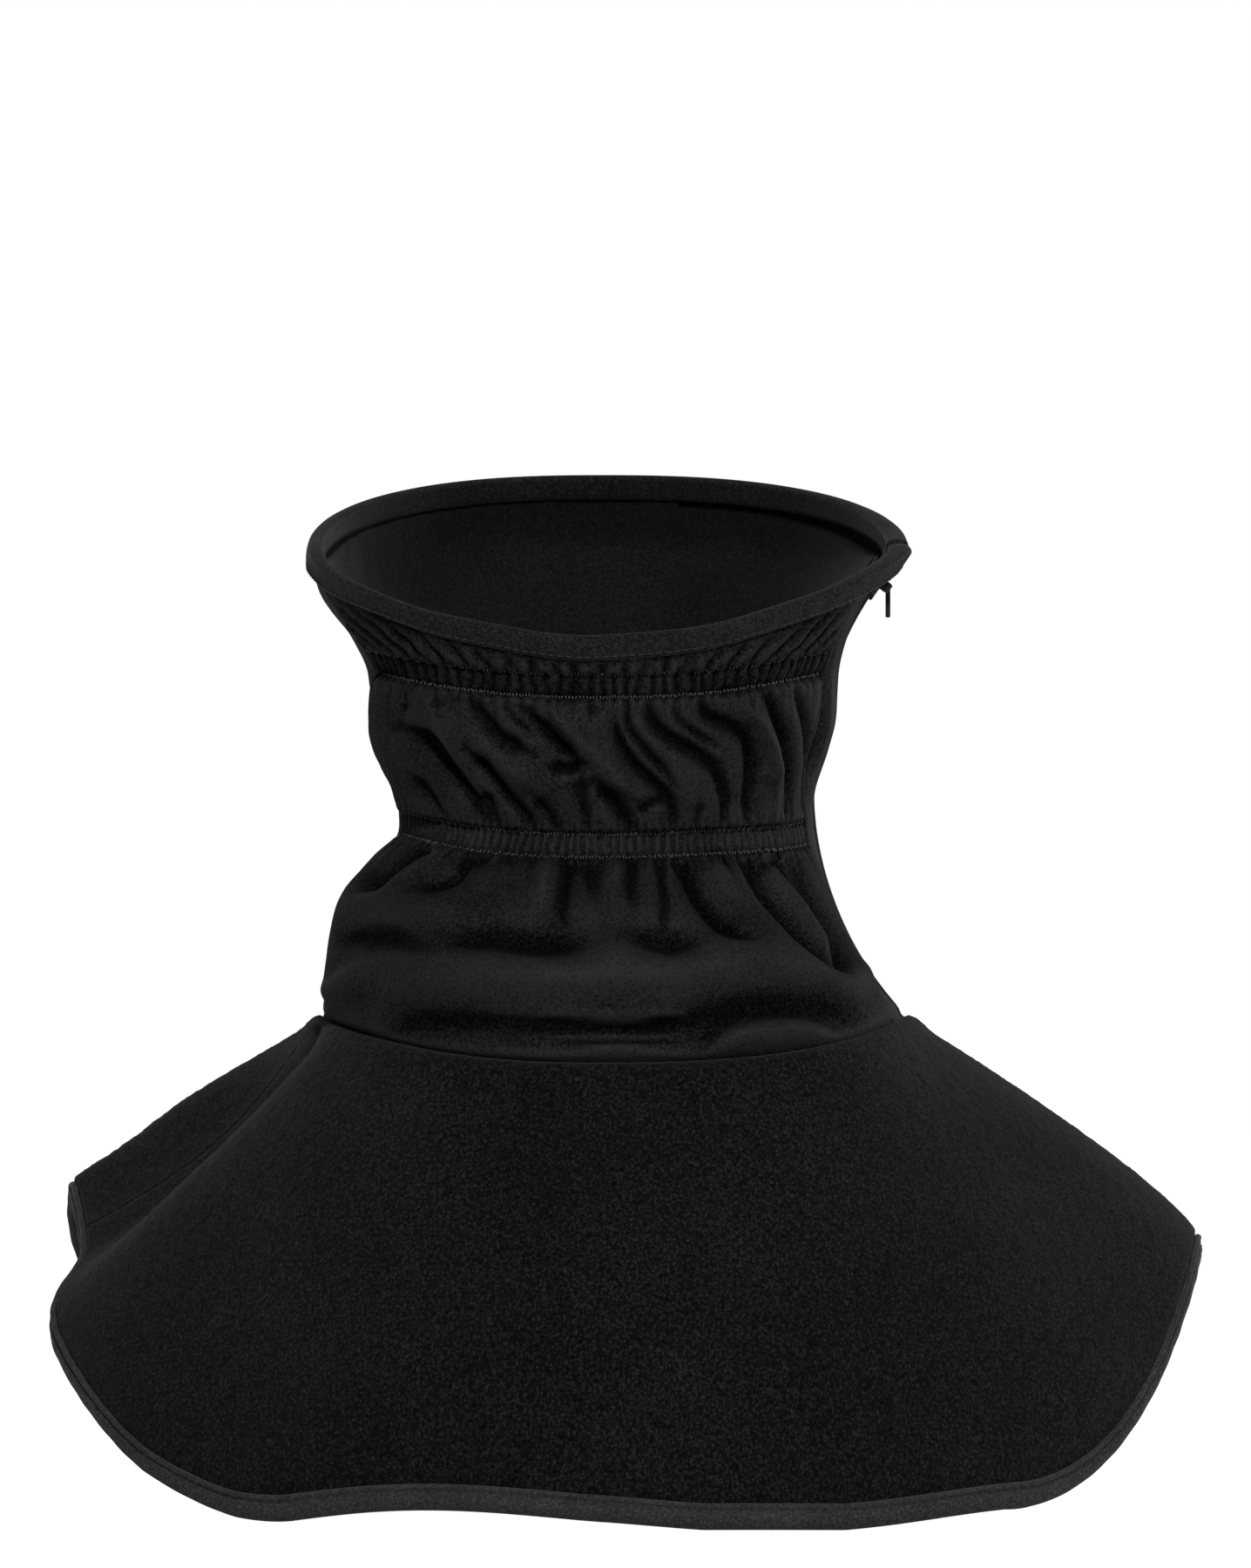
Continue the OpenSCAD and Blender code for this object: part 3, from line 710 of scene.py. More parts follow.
def back_panel_shape(a, z, g):
    """How far the back panel's outer face stands off the plain neck. g is the distance round the neck.

    Three fields: the cloth between the channels, the loose cloth above and below them, and the fine ribs."""
    base = neck(a, z)
    lean = normals_of(base) * BACK_STAND
    x, height = base[..., 0] + lean[..., 0], z + lean[..., 2]
    half = CHANNEL_H / 2
    low_bottom, low_top = lower_line(a) - half, lower_line(a) + half
    up_bottom, up_top = upper_line(a) - half, upper_line(a) + half
    band_edge = top_line(a) - BAND_W

    # between the channels: deep creases that wander down to the right
    s = np.clip((z - low_top) / (up_bottom - low_top), 0, 1)
    swell = np.sin(np.pi * s) ** 0.4
    crinkle = 0.2 * noise(x + 0.7 * z, z - 0.5 * x, 6.0, 5, 2)
    near_channels = np.exp(-(z - low_top).clip(0) / 5.0) + np.exp(-(up_bottom - z).clip(0) / 5.0)
    gathers = 0.8 * (rib(g, 4.6, 6) - 0.45) * near_channels
    folds = 5.4 + 1.5 * stroke_field(MIDDLE_STROKES, x, height) + crinkle + gathers
    middle = np.where((s > 0) & (s < 1), swell * folds, 0)

    # below the lower channel: gathers that run out into hollows, and a long swag above the seam
    q = np.clip((low_bottom - z) / (low_bottom - seam_line(a)), 0, 1)
    loose = stroke_field(SKIRT_STROKES, x, height) + dent_field(SKIRT_DENTS, x, height)
    loose = (loose + 0.25 * noise(x, z, 9.0, 7, 3)) * smooth(q / 0.04) * smooth((1 - q) / 0.035)
    gathers = 0.9 * (rib(g, 5.2, 4) - 0.4) * smooth(q / 0.03) * np.exp(-(low_bottom - z).clip(0) / 6.0)
    full = 6.3 * np.sin(np.pi * q) ** 0.5 * (1 - 0.55 * bell(x - 2, 24) * smooth((q - 0.78) / 0.14))
    skirt = np.where(q > 0, 1.15 * loose + gathers + full, 0)

    # above the upper channel: puckers that spread towards the band
    w = np.clip((z - up_top) / np.maximum(band_edge - up_top, 1), 0, 1)
    slant = 0.85 * x / 60 * (z - up_top) + 1.2 * noise(g, z, 7.0, 15, 2)
    puckers = 2.3 * (rib(g - slant, 5.6, 9) - 0.35) + 0.9
    collar = np.where(w > 0, puckers * np.sin(np.pi * np.clip(w * 0.8 + 0.12, 0, 1)), 0)

    # the channels: fine ribs, nipped in along the stitch rows
    near_low = np.exp(-np.maximum(np.abs(z - lower_line(a)) - half, 0) / 3.0)
    near_up = np.exp(-np.maximum(np.abs(z - upper_line(a)) - half, 0) / 3.0)
    uneven = 1 + 0.6 * noise(g, z, 6.0, 13, 2)
    wander = g + 0.9 * noise(g, z, 4.0, 16, 2)
    ribs = 0.85 * (rib(wander, 2.5, 1) - 0.35) * near_low + 1.15 * (rib(wander, 3.5, 2) - 0.35) * near_up
    nip = sum(bell(z - line, 0.75) for line in (low_bottom, low_top, up_bottom, up_top))
    return middle, skirt + collar, uneven * ribs - 0.5 * nip


def relax(p, base, normal, fullness, pinned, low, high, rounds):
    """Cloth simulation on a grid: thread lengths and shear are restored in turn, by moving points.

    fullness is how much longer each thread is than the shape it starts from, which makes the cloth buckle.
    The cloth is held at the pinned points, and kept between low and high off the base surface."""

    def pair(arr, dr, dc):
        rows, cols = arr.shape[:2]
        if dc >= 0:
            return arr[: rows - dr, : cols - dc], arr[dr:, dc:]
        return arr[: rows - dr, -dc:], arr[dr:, : cols + dc]

    springs = [(0, 1, 1.0), (1, 0, 1.0), (1, 1, 0.4), (1, -1, 0.4)]
    wanted = []
    for dr, dc, _ in springs:
        a, b = pair(p, dr, dc)
        fa, fb = pair(fullness, dr, dc)
        wanted.append(np.linalg.norm(b - a, axis=-1) * (1 + (fa + fb) / 2))
    free = (~pinned)[..., None].astype(float)
    for _ in range(rounds):
        move = np.zeros_like(p)
        count = np.zeros(p.shape[:2])
        for (dr, dc, stiff), want in zip(springs, wanted):
            a, b = pair(p, dr, dc)
            d = b - a
            now = np.linalg.norm(d, axis=-1)
            shift = (0.5 * stiff * (now - want) / np.maximum(now, 1e-6))[..., None] * d
            ma, mb = pair(move, dr, dc)
            ma += shift
            mb -= shift
            ca, cb = pair(count, dr, dc)
            ca += stiff
            cb += stiff
        p = p + free * move / np.maximum(count, 1)[..., None] * 1.5
        off = ((p - base) * normal).sum(-1)
        kept = low + np.logaddexp(0, (off - low) / 0.4) * 0.4
        kept = high - np.logaddexp(0, (high - kept) / 0.4) * 0.4
        p = p + free * ((kept - off)[..., None] * normal)
    return p


def doubled(p, axes=(0, 1)):
    """The grid with a new row and column between each two, on a smooth curve through its neighbours."""
    for axis in axes:
        p = np.swapaxes(p, 0, axis)
        e = np.concatenate([2 * p[:1] - p[1:2], p, 2 * p[-1:] - p[-2:-1]])
        between = (9 * (e[1:-2] + e[2:-1]) - e[:-3] - e[3:]) / 16
        out = np.empty((2 * len(p) - 1,) + p.shape[1:])
        out[0::2], out[1::2] = p, between
        p = np.swapaxes(out, 0, axis)
    return p


def panel_rows(a, foot, counts):
    """Heights up a neck panel at one angle, with a row on every feature line, from a foot below the seam."""
    half = CHANNEL_H / 2
    lines = [seam_line(a) - foot, lower_line(a) - half, lower_line(a) + half, upper_line(a) - half,
             upper_line(a) + half, top_line(a) - BAND_W, top_line(a) - 1.2]
    parts = [np.linspace(lo, hi, n, endpoint=False) for lo, hi, n in zip(lines, lines[1:], counts)]
    return np.concatenate(parts + [[lines[-1]]])





def distance_round(angles, line):
    """Distance round the neck along a line, from the nape."""
    g = travel(neck(angles, line(angles)))
    return g - np.interp(270, angles, g)


def build_back_panel():
    """The gathered panel. Returns its outer grid, with the angle and height of each point."""
    angles = np.linspace(LEFT_SEAM - 0.1, RIGHT_SEAM + 0.1, 140)
    z = np.stack([panel_rows(a, 2.2, (34, 5, 27, 5, 9, 3)) for a in angles], 1)
    a = np.broadcast_to(angles, z.shape)
    g = np.broadcast_to(distance_round(angles, lower_line), z.shape)
    base = neck(a, z)
    normal = normals_of(base)
    middle, loose, _ = back_panel_shape(a, z, g)
    edge = smooth((a - LEFT_SEAM) / 5.0) * smooth((RIGHT_SEAM - a) / 3.5)
    p = base + normal * ((middle + loose) * edge)[..., None]

    # The cloth is pinned at its seams, in its channels and under the band.
    half = CHANNEL_H / 2
    between = (z > lower_line(a) + half + 0.01) & (z < upper_line(a) - half - 0.01)
    skirt = (z < lower_line(a) - half - 0.01) & (z > seam_line(a) + 0.8)
    collar = (z > upper_line(a) + half + 0.01) & (z < top_line(a) - BAND_W)
    pinned = ~(between | skirt | collar)
    pinned[:, :2] = True
    pinned[:, -2:] = True
    fullness = np.where(between, 0.035, np.where(skirt, 0.004, 0.03))
    p = relax(p, base, normal, fullness, pinned, -0.6, np.where(skirt, 12.0, 8.5), 30)

    def finer(v):
        return doubled(doubled(v), (1,))

    fine = finer(p)
    fa, fz, fg = [finer(v[..., None])[..., 0] for v in (a, z, g)]
    _, _, ribs = back_panel_shape(fa, fz, fg)
    held = smooth((fa - LEFT_SEAM) / 1.5) * smooth((RIGHT_SEAM - fa) / 1.5)
    tuck = -1.0 * (1 - held) - 1.3 * smooth((seam_line(fa) + 1.2 - fz) / 2.4)
    fine = fine + normals_of(fine) * (ribs * held)[..., None] + finer(normal) * tuck[..., None]
    cloth = sheet("back_panel_cloth", fine, SHELL_T, SOFTSHELL_SHADED, ("back_panel",))
    # Painted shade goes into the hollows, and the lower channel is painted paler: a painted highlight on its
    # lit ribs.
    worn_and_lit = 0.9 * smooth((half + 0.4 - np.abs(fz - lower_line(fa))) / 0.8)
    paint_hollow_shade(cloth, fine, 1.0, worn_and_lit)
    return fine, fa, fz


# ---------------- the smooth panels


def smooth_panel_shape(a, z):
    """Soft drape of the mask and side panels: a chin, slack below it, and uneven cheeks."""
    p = neck(a, z)
    x, y = p[..., 0], p[..., 1]
    front = smooth(sind(a) * 1.4)
    shape = (3.0 * bell(z - 218, 10) * bell(x, 38) - 2.5 * bell(z - 186, 11) * bell(x, 55)) * front
    # Three slack folds under the chin: height, lean, width and depth.
    for height, lean, wide, tall in ((190, 0.18, 3.4, 1.6), (178, -0.12, 4.0, 1.3), (164, 0.08, 5.0, 1.4)):
        line = height + lean * x + 5 * np.sin(x / 31 + height) + 0.25 * (y - 40)
        shape = shape + tall * bell(z - line, wide) * front * (0.7 + 0.3 * noise(x, z, 25, 11))
    cheek = 1.0 * noise(x + 2 * y, z, 34, 14, 2) + 0.5 * noise(x - y, z * 1.4, 15, 15, 2)
    return shape + cheek * smooth((z - seam_line(a)) / 10)


def build_smooth_panel(name, start, end, cols, node):
    """A smooth panel between two angles. Either of them can be the zip's edge instead."""
    share = np.linspace(0, 1, cols)
    first, last = (1.0 if start == "zip" else start), (359.0 if end == "zip" else end)
    z = np.stack([panel_rows(first + (last - first) * t, 0.6, (46, 4, 30, 4, 16, 4)) for t in share], 1)
    lo = zip_edge(z, front_reach) if start == "zip" else start
    hi = 360 - zip_edge(z, back_reach) if end == "zip" else end
    a = lo + (hi - lo) * share + 0 * z
    base = neck(a, z)
    from_start = np.concatenate([np.zeros((len(z), 1)), np.cumsum(steps_of(base, 1), 1)], 1)
    from_end = from_start[:, -1:] - from_start
    near = np.minimum(from_start, from_end)
    held = smooth(near / 9.0) * smooth((top_line(a) - BAND_W + 1 - z) / 8)
    shape = smooth_panel_shape(a, z) * held
    # the swell of the neck's side above the waist
    shape = shape + 5.2 * bell(z - 231, 17) * smooth(near / 6.0) * smooth((cosd(a) - 0.85) / 0.08)
    # turned edge beside the zip, stitched down; a tucked edge at a seam
    for distance, kind in ((from_start, start), (from_end, end)):
        if kind == "zip":
            shape = shape + 0.55 * bell(distance - 1.6, 1.5) - 0.35 * bell(distance - 3.6, 0.5)
            shape = shape - 0.5 * bell(distance, 0.5)
        else:
            shape = shape - 1.0 * bell(distance, 1.1) + 0.25 * bell(distance - 2.4, 1.0)
            shape = shape + 0.35 * bell(distance - 2.0, 2.0) * noise(a * 6, z, 4.2, 21, 1)
    shape = shape - 0.9 * bell(z - seam_line(a), 1.4)
    p = base + normals_of(base) * shape[..., None]
    # a share of painted shade in the panel's hollows
    paint_hollow_shade(sheet(name, p, SHELL_T, SOFTSHELL_LIT, (node,)), p, 0.4)


# ---------------- linings


def build_lining(name, start, end, cols, node):
    """A lining layer, a little slack, inside the panels."""
    angles = np.linspace(start, end, cols)
    z = np.stack([np.linspace(seam_line(a) + 0.4, top_line(a) - 1.4, 90) for a in angles], 1)
    base = neck(angles, z, LINING_IN)
    slack = 0.35 * noise(base[..., 0] + base[..., 1], z, 12, 31, 2)
    sheet(name, base + normals_of(base) * slack[..., None], LINING_T, LINING, (node,))


# ---------------- top band


def band_profile():
    """Outline of the folded band: distances down and inwards, clockwise from its outer lower edge."""
    out, inner, tape = -BAND_OUT, BAND_IN, 0.7
    middle, half = (out + inner) / 2, (inner - out) / 2
    points = [(BAND_W, out + 0.35), (BAND_W - 0.5, out - 0.05)]
    points += [(BAND_W - 1.0 - k * 0.9, out - 0.12 - 0.28 * math.sin(math.pi * (k + 1) / 6))
               for k in range(6)]
    points += [(0.9 - 1.5 * math.sin(t), middle - half * math.cos(t)) for t in np.linspace(0, math.pi, 9)]
    points += [(1.5 + k * 1.7, inner) for k in range(4)]
    points += [(BAND_W, inner - tape), (BAND_W - 2, inner - tape), (2.0, inner - tape)]
    points += [(1.2, middle), (2.0, out + tape), (BAND_W - 2, out + tape), (BAND_W - 0.3, out + tape)]
    return np.array(points).T


def build_top_band():
    """The band over the top edge, from in front of the zip round to behind it, and its row of stitches."""
    angles = np.linspace(zip_edge(278.0, front_reach), 360 - zip_edge(278.0, back_reach), 420)
    down, inward = band_profile()
    g = distance_round(angles, top_line)
    gathered = smooth(-sind(angles) * 1.6)
    wave = 0.45 * gathered * (rib(g, 9.0, 41) - 0.5) + 0.3 * noise(g, 0 * g, 14, 42)
    flare = 3.2 * bell(angles - 345, 16) + 1.0 * bell(angles - 195, 14)
    # The band is joined a little to the left of the nape: a step and a groove.
    join = 0.35 * smooth((g + 3.4) / 0.5) * bell(g + 3.0, 4.0) - 0.3 * bell(g + 3.4, 0.5)
    outer_face = inward < 1.0
    outside = np.where(outer_face, 1.0, 0.4)
    sections = []
    for k, a in enumerate(angles):
        z = top_line(a) + 0.25 * math.sin(g[k] / 7.0) * gathered[k] - down
        push = wave[k] * outside * (down / BAND_W) + flare[k] * outside * (0.35 + 0.65 * down / BAND_W)
        push = push + np.where(outer_face, join[k], 0)
        stretch = ZIP_R / arc_drop(z) if cosd(a) > 0.2 else 1.0
        away = np.array([cosd(a), sind(a), 0])
        sections.append(neck(a, z) - away * (inward * stretch - push)[:, None])
    sweep("top_band_cloth", sections, BRUSHED, nodes=("top_band",))
    row = np.array(sections)[:, 2]
    build_stitch_row("top_band_thread", row, 2.6, 0.18, 1.9, 0.19, BAND_THREAD, "top_band_stitches")


def along_path(path, pitch):
    """Points and directions every pitch along a path of points, and their distances along it."""
    length = travel(path)
    at = np.arange(pitch / 2, length[-1], pitch)

    def place(distance):
        return np.stack([np.interp(distance, length, path[:, k]) for k in range(3)], -1)

    return place(at), unit(place(at + 0.3) - place(at - 0.3)), at


def outward(points):
    """Rough outward directions from the neck's axis, level."""
    d = points - np.array([0, 20.0, 0])
    d[:, 2] = 0
    return unit(d)


def build_stitch_row(name, path, pitch, lift, length, radius, material, node):
    """One row of straight stitches along a path, lifted off the cloth."""
    points, along, _ = along_path(path, pitch)
    away = outward(points)
    stitches(name, points + away * lift, along, away, length, radius, material, (node,))


def zigzag_row(path, path_normals, pitch, height):
    """Centres, directions and normals of a zigzag row laid along a path on the cloth."""
    points, along, at = along_path(path, pitch)
    place = np.linspace(0, at[-1] + pitch / 2, len(path_normals))
    normals = np.stack([np.interp(at, place, path_normals[:, k]) for k in range(3)], -1)
    sign = np.where(np.arange(len(points)) % 2 == 0, 1.0, -1.0)[:, None]
    return points, 0.3 * along * pitch * sign + unit(np.cross(normals, along)) * height, unit(normals)


def build_channel_stitches(cloth, angles, heights):
    """Two zigzag rows on each channel, laid on the finished back panel."""
    normals = normals_of(cloth)
    cols = np.arange(4, cloth.shape[1] - 4)
    for name, line in (("lower", lower_line), ("upper", upper_line)):
        rows = []
        for offset in (-CHANNEL_H / 2, CHANNEL_H / 2):
            r = np.abs(heights[:, cols] - line(angles[0, cols]) - offset).argmin(0)
            rows.append(zigzag_row(cloth[r, cols] + normals[r, cols] * 0.14, normals[r, cols], 1.1, 1.0))
        centres, directions, facing = [np.concatenate(part) for part in zip(*rows)]
        stitches(f"{name}_channel_thread", centres, directions, facing, 1.3, 0.2, THREAD,
                 (f"{name}_channel_stitches",))


# ---------------- the fleece bib

RIGHT_RISE, LEFT_RISE = 75.0, 90.0
RIGHT_SPAN, LEFT_SPAN, LEFT_PEAK, LEFT_CURVE = 48.0, 66.0, 170.0, 1.5
SKIRT_H = 8.7


def hem_line(a):
    """Height of the hem: slow waves, and a rise over each shoulder."""
    a = np.asarray(a, float)
    wave = np.maximum(0, 3.3 * (1 - cosd(6 * (a + 75))) - 0.8)
    right = np.where(cosd(a) > 0, 1 - smooth(np.degrees(np.arcsin(np.abs(sind(a)))) / RIGHT_SPAN), 0)
    away = np.minimum(LEFT_SPAN, np.sqrt((a - LEFT_PEAK) ** 2 + 9) - 3)
    left = np.where(cosd(a) < 0, (1 - away / LEFT_SPAN) ** LEFT_CURVE, 0)
    return wave * (1 - right) * (1 - left) + RIGHT_RISE * right + LEFT_RISE * left


FOLD_TOP, FOLD_TURN, FOLD_BACK, FOLD_FRONT, FOLD_DEEP, FOLD_HEM = 193.0, 11.0, 8.0, 16.0, 24.0, 14.0


def shoulder_fold(a, t):
    """Depth of the fold over the left shoulder, from the seam (t = 0) to the hem (t = 1)."""
    deep = FOLD_DEEP * 4 * t * (1 - t) + FOLD_HEM * t * t
    off = a - FOLD_TOP + FOLD_TURN * t
    return deep * np.exp(-((off / np.where(off > 0, FOLD_BACK, FOLD_FRONT)) ** 2))


def pinched(p, amount):
    """Points drawn in towards the upright axis."""
    r = np.linalg.norm(p[..., :2], axis=-1)
    k = 1 - amount / r
    return np.stack([p[..., 0] * k, p[..., 1] * k, p[..., 2]], -1)


def hem(a, z, inward=0.0):
    """Points of the bib's lowest part, which hangs straight down."""
    a, z = np.broadcast_arrays(np.asarray(a, float), np.asarray(z, float))
    half = np.where(cosd(a) > 0, HEM_RIGHT, HEM_LEFT) - inward
    deep = np.where(sind(a) > 0, HEM_FRONT, HEM_BACK) - inward
    return pinched(oval(a, z, half, deep, BIB_SQUARE), shoulder_fold(a, 1.0))


def bib(a, t, inward=0.0):
    """Points of the bib, from the seam (t = 0) to its straight foot (t = 1)."""
    a, t = np.broadcast_arrays(np.asarray(a, float), np.asarray(t, float))
    start, end = seam_line(a) - 0.2, hem_line(a) + SKIRT_H
    drop = 1.2 + 0.4 * sind(a) ** 2
    g = 1 - (1 - t) ** drop
    top, low = neck(a, start, inward), hem(a, end, inward)
    p = top + (low - top) * g[..., None]
    p = np.concatenate([p[..., :2], (start + (end - start) * t)[..., None]], -1)
    return pinched(p, shoulder_fold(a, t) - shoulder_fold(a, 1.0) * g)


def bib_drape(a, t):
    """Slow swells of the heavy fleece, and a puffed edge where it meets the neck seam."""
    x = cosd(a) * 165
    swell = 1.6 * noise(x, t * 130 + 60 * np.sign(sind(a)), 55, 51, 2)
    swell = swell * np.sin(np.pi * np.clip(t, 0, 1)) ** 0.7
    swell = swell * smooth(np.abs(sind(a)) / 0.3)
    ripple = 1.7 * np.sin(np.radians(a * 9 + 40)) * smooth((t - 0.35) / 0.6) * np.abs(sind(a))
    y = sind(a) * 130
    facing = sind(a) ** 2
    drop = t * 150
    lumps = 0.20 * (facing * noise(x, drop, 5.0, 52, 3) + (1 - facing) * noise(y, drop, 5.0, 53, 3))
    puff = 1.1 * bell(t * 130 - 4.0, 4.5)
    return swell + ripple + lumps + puff


def build_bib(name, start, node):
    """Half of the bib, from the side seam at the start angle to the other one. Its foot hangs straight."""
    cols, rows, skirt_rows = 340, 116, 7
    angles = np.linspace(start - 0.12, start + 180.12, cols)
    a, t = np.meshgrid(angles, np.linspace(0, 1, rows) ** 0.97)
    skirt_a = np.broadcast_to(angles, (skirt_rows, cols))
    skirt_t = np.linspace(0, 1, skirt_rows + 1)[1:, None]
    skirt = hem(skirt_a, hem_line(skirt_a) + SKIRT_H + (1.4 - SKIRT_H) * skirt_t)
    p = np.concatenate([bib(a, t), skirt])[::-1]
    tall = np.concatenate([t, np.ones((skirt_rows, cols))])[::-1]
    angle = np.concatenate([a, skirt_a])[::-1]
    side_seam = np.minimum(angle - start, start + 180 - angle)
    shape = bib_drape(angle, tall) * smooth((1.0 - tall) / 0.10)
    shape = shape + rng.normal(0, 0.08, p.shape[:2]) * (tall < 1) * smooth(side_seam / 0.8)
    # The upper edge is rounded over the first 2.2 mm.
    edge = np.clip(tall * 130 / 2.2, 0, 1)
    shape = shape - 1.2 * (1 - np.sqrt(1 - (1 - edge) ** 2))
    n = normals_of(p)
    sheet(name, p + n * shape[..., None], FLEECE_T, FLEECE, (node,), inner=p - n * FLEECE_T * 0.9, crisp=True)


def build_hem_binding():
    """Tape folded round the hem: a narrow ridge, a stitched groove, then the smooth outer band."""
    angles = np.linspace(0, 360, 720, endpoint=False)
    g = travel(hem(angles, hem_line(angles)))
    out, inner, w = BAND_OUT, FLEECE_T + BAND_OUT, HEM_W
    middle, half = (inner - out) / 2, (inner + out) / 2
    # Outline of the folded tape as (height above the hem, distance inwards), from its outer upper edge.
    outline = [(w, 0.5 - out), (w - 0.3, -0.45 - out), (w - 0.9, -0.8 - out), (w - 1.5, -0.55 - out),
               (w - 2.05, 0.4 - out), (w - 2.6, -0.35 - out), (w - 3.3, -0.85 - out), (w - 4.6, -1.0 - out),
               (1.8, -0.8 - out)]
    outline += [(1.3 - 1.5 * math.sin(t), middle - (half + 0.4) * math.cos(t))
                for t in np.linspace(0.25, math.pi - 0.25, 8)]
    outline += [(2.0, inner + 0.4), (4.5, inner + 0.3), (w, inner + 0.1), (w, inner - 0.6),
                (3.5, inner - 0.6), (2.2, middle), (3.5, 0.6 - out), (w - 0.4, 0.9 - out)]
    up, inward = np.array(outline).T
    front = np.where(inward < 1, 1.0, 0.2)
    crease_depth = 0.22 * noise(g, 0 * g, 5.0, 61, 2) + 0.12 * np.sin(g / 1.9)
    join = bell((angles - 268.4) * 2.6, 1.6)
    sections = []
    for k, a in enumerate(angles):
        z = hem_line(a) + up + 0.18 * math.sin(g[k] / 21.0)
        lift = front * (crease_depth[k] * 0.6 + 0.7 * join[k])
        away = unit(np.array([cosd(a) * 0.9, sind(a), 0]))
        sections.append(hem(a, z) - away * (inward - lift)[:, None])
    sweep("hem_binding_tape", sections, JERSEY, ring=True, nodes=("hem_binding",))
    groove = np.array([s[4] for s in sections + sections[:1]])
    build_stitch_row("hem_binding_thread", groove, 3.0, 0.16, 2.3, 0.2, THREAD, "hem_binding_stitches")


# ---------------- the zip


def on_arc(beta, radius, across):
    beta, radius, across = np.broadcast_arrays(*[np.asarray(v, float) for v in (beta, radius, across)])
    return np.stack([ARC_X - radius * cosd(beta), ZIP_Y + across, ARC_Z + radius * sind(beta)], -1)


def arc_degrees(length):
    return math.degrees(length / ZIP_R)


def zip_angles(node):
    """The lower and upper end of a zip piece, as angles on the zip's arc."""
    return [math.degrees(math.asin((corner.z / MM - ARC_Z) / (ZIP_R + TAPE_IN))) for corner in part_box(node)]


def build_tape(name, sign, node):
    """One tape of the zip. Its ends run on behind the seam of the bib and into the fold of the band."""
    low, high = zip_angles(node)
    outer, inner = ZIP_R + TAPE_IN, ZIP_R + TAPE_IN + TAPE_T
    far = COIL_SPLIT + TAPE_W
    bevel = 0.15
    rings = []
    for angle in np.linspace(low - arc_degrees(TAPE_FOOT), high + arc_degrees(TAPE_HEAD), 160):
        # Below the bottom stop the two tapes are sewn together.
        near = COIL_SPLIT if angle > low + arc_degrees(1.0) else 0.05
        across = np.array([near, near + bevel, far - bevel, far, far, far - bevel, near + bevel, near])
        radius = np.r_[outer + bevel, outer, outer, outer + bevel, inner - bevel, inner, inner, inner - bevel]
        rings.append(on_arc(angle, radius, sign * across))
    sweep(name, rings, TAPE, nodes=(node,))


def build_coil(name, sign, node):
    """One row of coil: a flattened helix, sewn along the tape's edge. The two rows mesh half a turn apart."""
    low, high = zip_angles(node)
    low, high = low + 0.5, high - 0.5
    turns = int(math.radians(high - low) * ZIP_R / 1.25)
    t = np.linspace(0, turns, turns * 14 + 1)
    turn = 2 * np.pi * t + (0 if sign > 0 else np.pi)
    across = 1.52 + 0.82 * np.cos(turn)
    radius = ZIP_R + 1.02 + 0.44 * np.sin(turn)
    path = on_arc(low + (high - low) * t / turns, radius, sign * across)
    sweep(name, tube_sections(path, 0.27, 6), COIL, nodes=(node,))


def pillow(name, outline, layers, middle, depth, material, body="garment"):
    """A rounded plate on the zip's arc: its outline at each layer's inset and height, around a middle angle.

    The depth is how far its underside lies behind the cloth's outer face."""
    centre = outline.mean(0)
    d = outline - centre
    r = np.linalg.norm(d, axis=1, keepdims=True)
    rings = []
    for inset, height in layers:
        u, v = (centre + d * (1 - inset / r)).T
        rings.append(on_arc(middle + np.degrees(u / ZIP_R), ZIP_R + depth - height, v))
    return sweep(name, rings, material, body=body)


def rounded_outline(half_long, half_wide, waist=0.0, square=3.2, count=48, shift=(0, 0)):
    """A rounded rectangle, narrowed by a waist."""
    t = 2 * np.pi * np.arange(count) / count
    u = half_long * power(np.cos(t), 2 / square)
    v = half_wide * power(np.sin(t), 2 / square) * (1 - waist * bell(u, half_long * 0.5))
    return np.stack([u, v], -1) + np.array(shift)


def join_pieces(name, parts, node):
    """Several closed meshes joined in one piece, which stands for a CAD node."""
    for o in bpy.context.selected_objects:
        o.select_set(False)
    for o in parts:
        o.select_set(True)
    bpy.context.view_layer.objects.active = parts[0]
    bpy.ops.object.join()
    parts[0].name = name
    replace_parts(parts[0], node)


def build_slider():
    """The slider's two plates, the rims and ears at both sides, the web between the coils, and the pin."""
    middle = math.degrees(math.atan2(PIN[2] - ARC_Z, ARC_X - PIN[0]))
    half_long, half_wide = 5.9, 4.0
    upper_layers = [(0.35, 0.0), (0.08, 0.12), (0.0, 0.35), (0.0, 0.8), (0.12, 1.08), (0.45, 1.2)]
    under_layers = [(0.4, 0.0), (0.0, 0.25), (0.0, 0.8), (0.35, 1.0)]
    rim_layers = [(0.1, 0.0), (0.0, 0.2), (0.0, 2.1)]
    ear_layers = [(0.0, 0.0), (0.0, 1.9), (0.1, 2.4), (0.35, 2.9)]
    plates = [(rounded_outline(half_long, half_wide, 0.16), upper_layers, -0.2),
              (rounded_outline(half_long, half_wide, 0.10), under_layers, 3.9)]
    for sign in (-1, 1):
        rim = rounded_outline(half_long - 0.5, 0.42, 0, 3.0, shift=(0, sign * 3.45))
        ear = rounded_outline(1.6, 0.48, 0, 2.6, 32, (0, sign * 2.2))
        plates += [(rim, rim_layers, 1.6), (ear, ear_layers, -1.2)]
    plates.append((rounded_outline(1.1, 0.33, 0, 3.0, 24, (4.4, 0)), [(0.0, 0.0), (0.0, 3.6)], 3.2))
    parts = [pillow("slider_part", outline, layers, middle, depth, METAL, "slider")
             for outline, layers, depth in plates]
    pin = PIN + np.array([0, 1, 0]) * np.linspace(-1.9, 1.9, 9)[:, None]
    parts.append(sweep("slider_pin", tube_sections(pin, 0.68, 16), METAL, body="slider"))
    join_pieces("zip_slider_body", parts, "zip_slider")


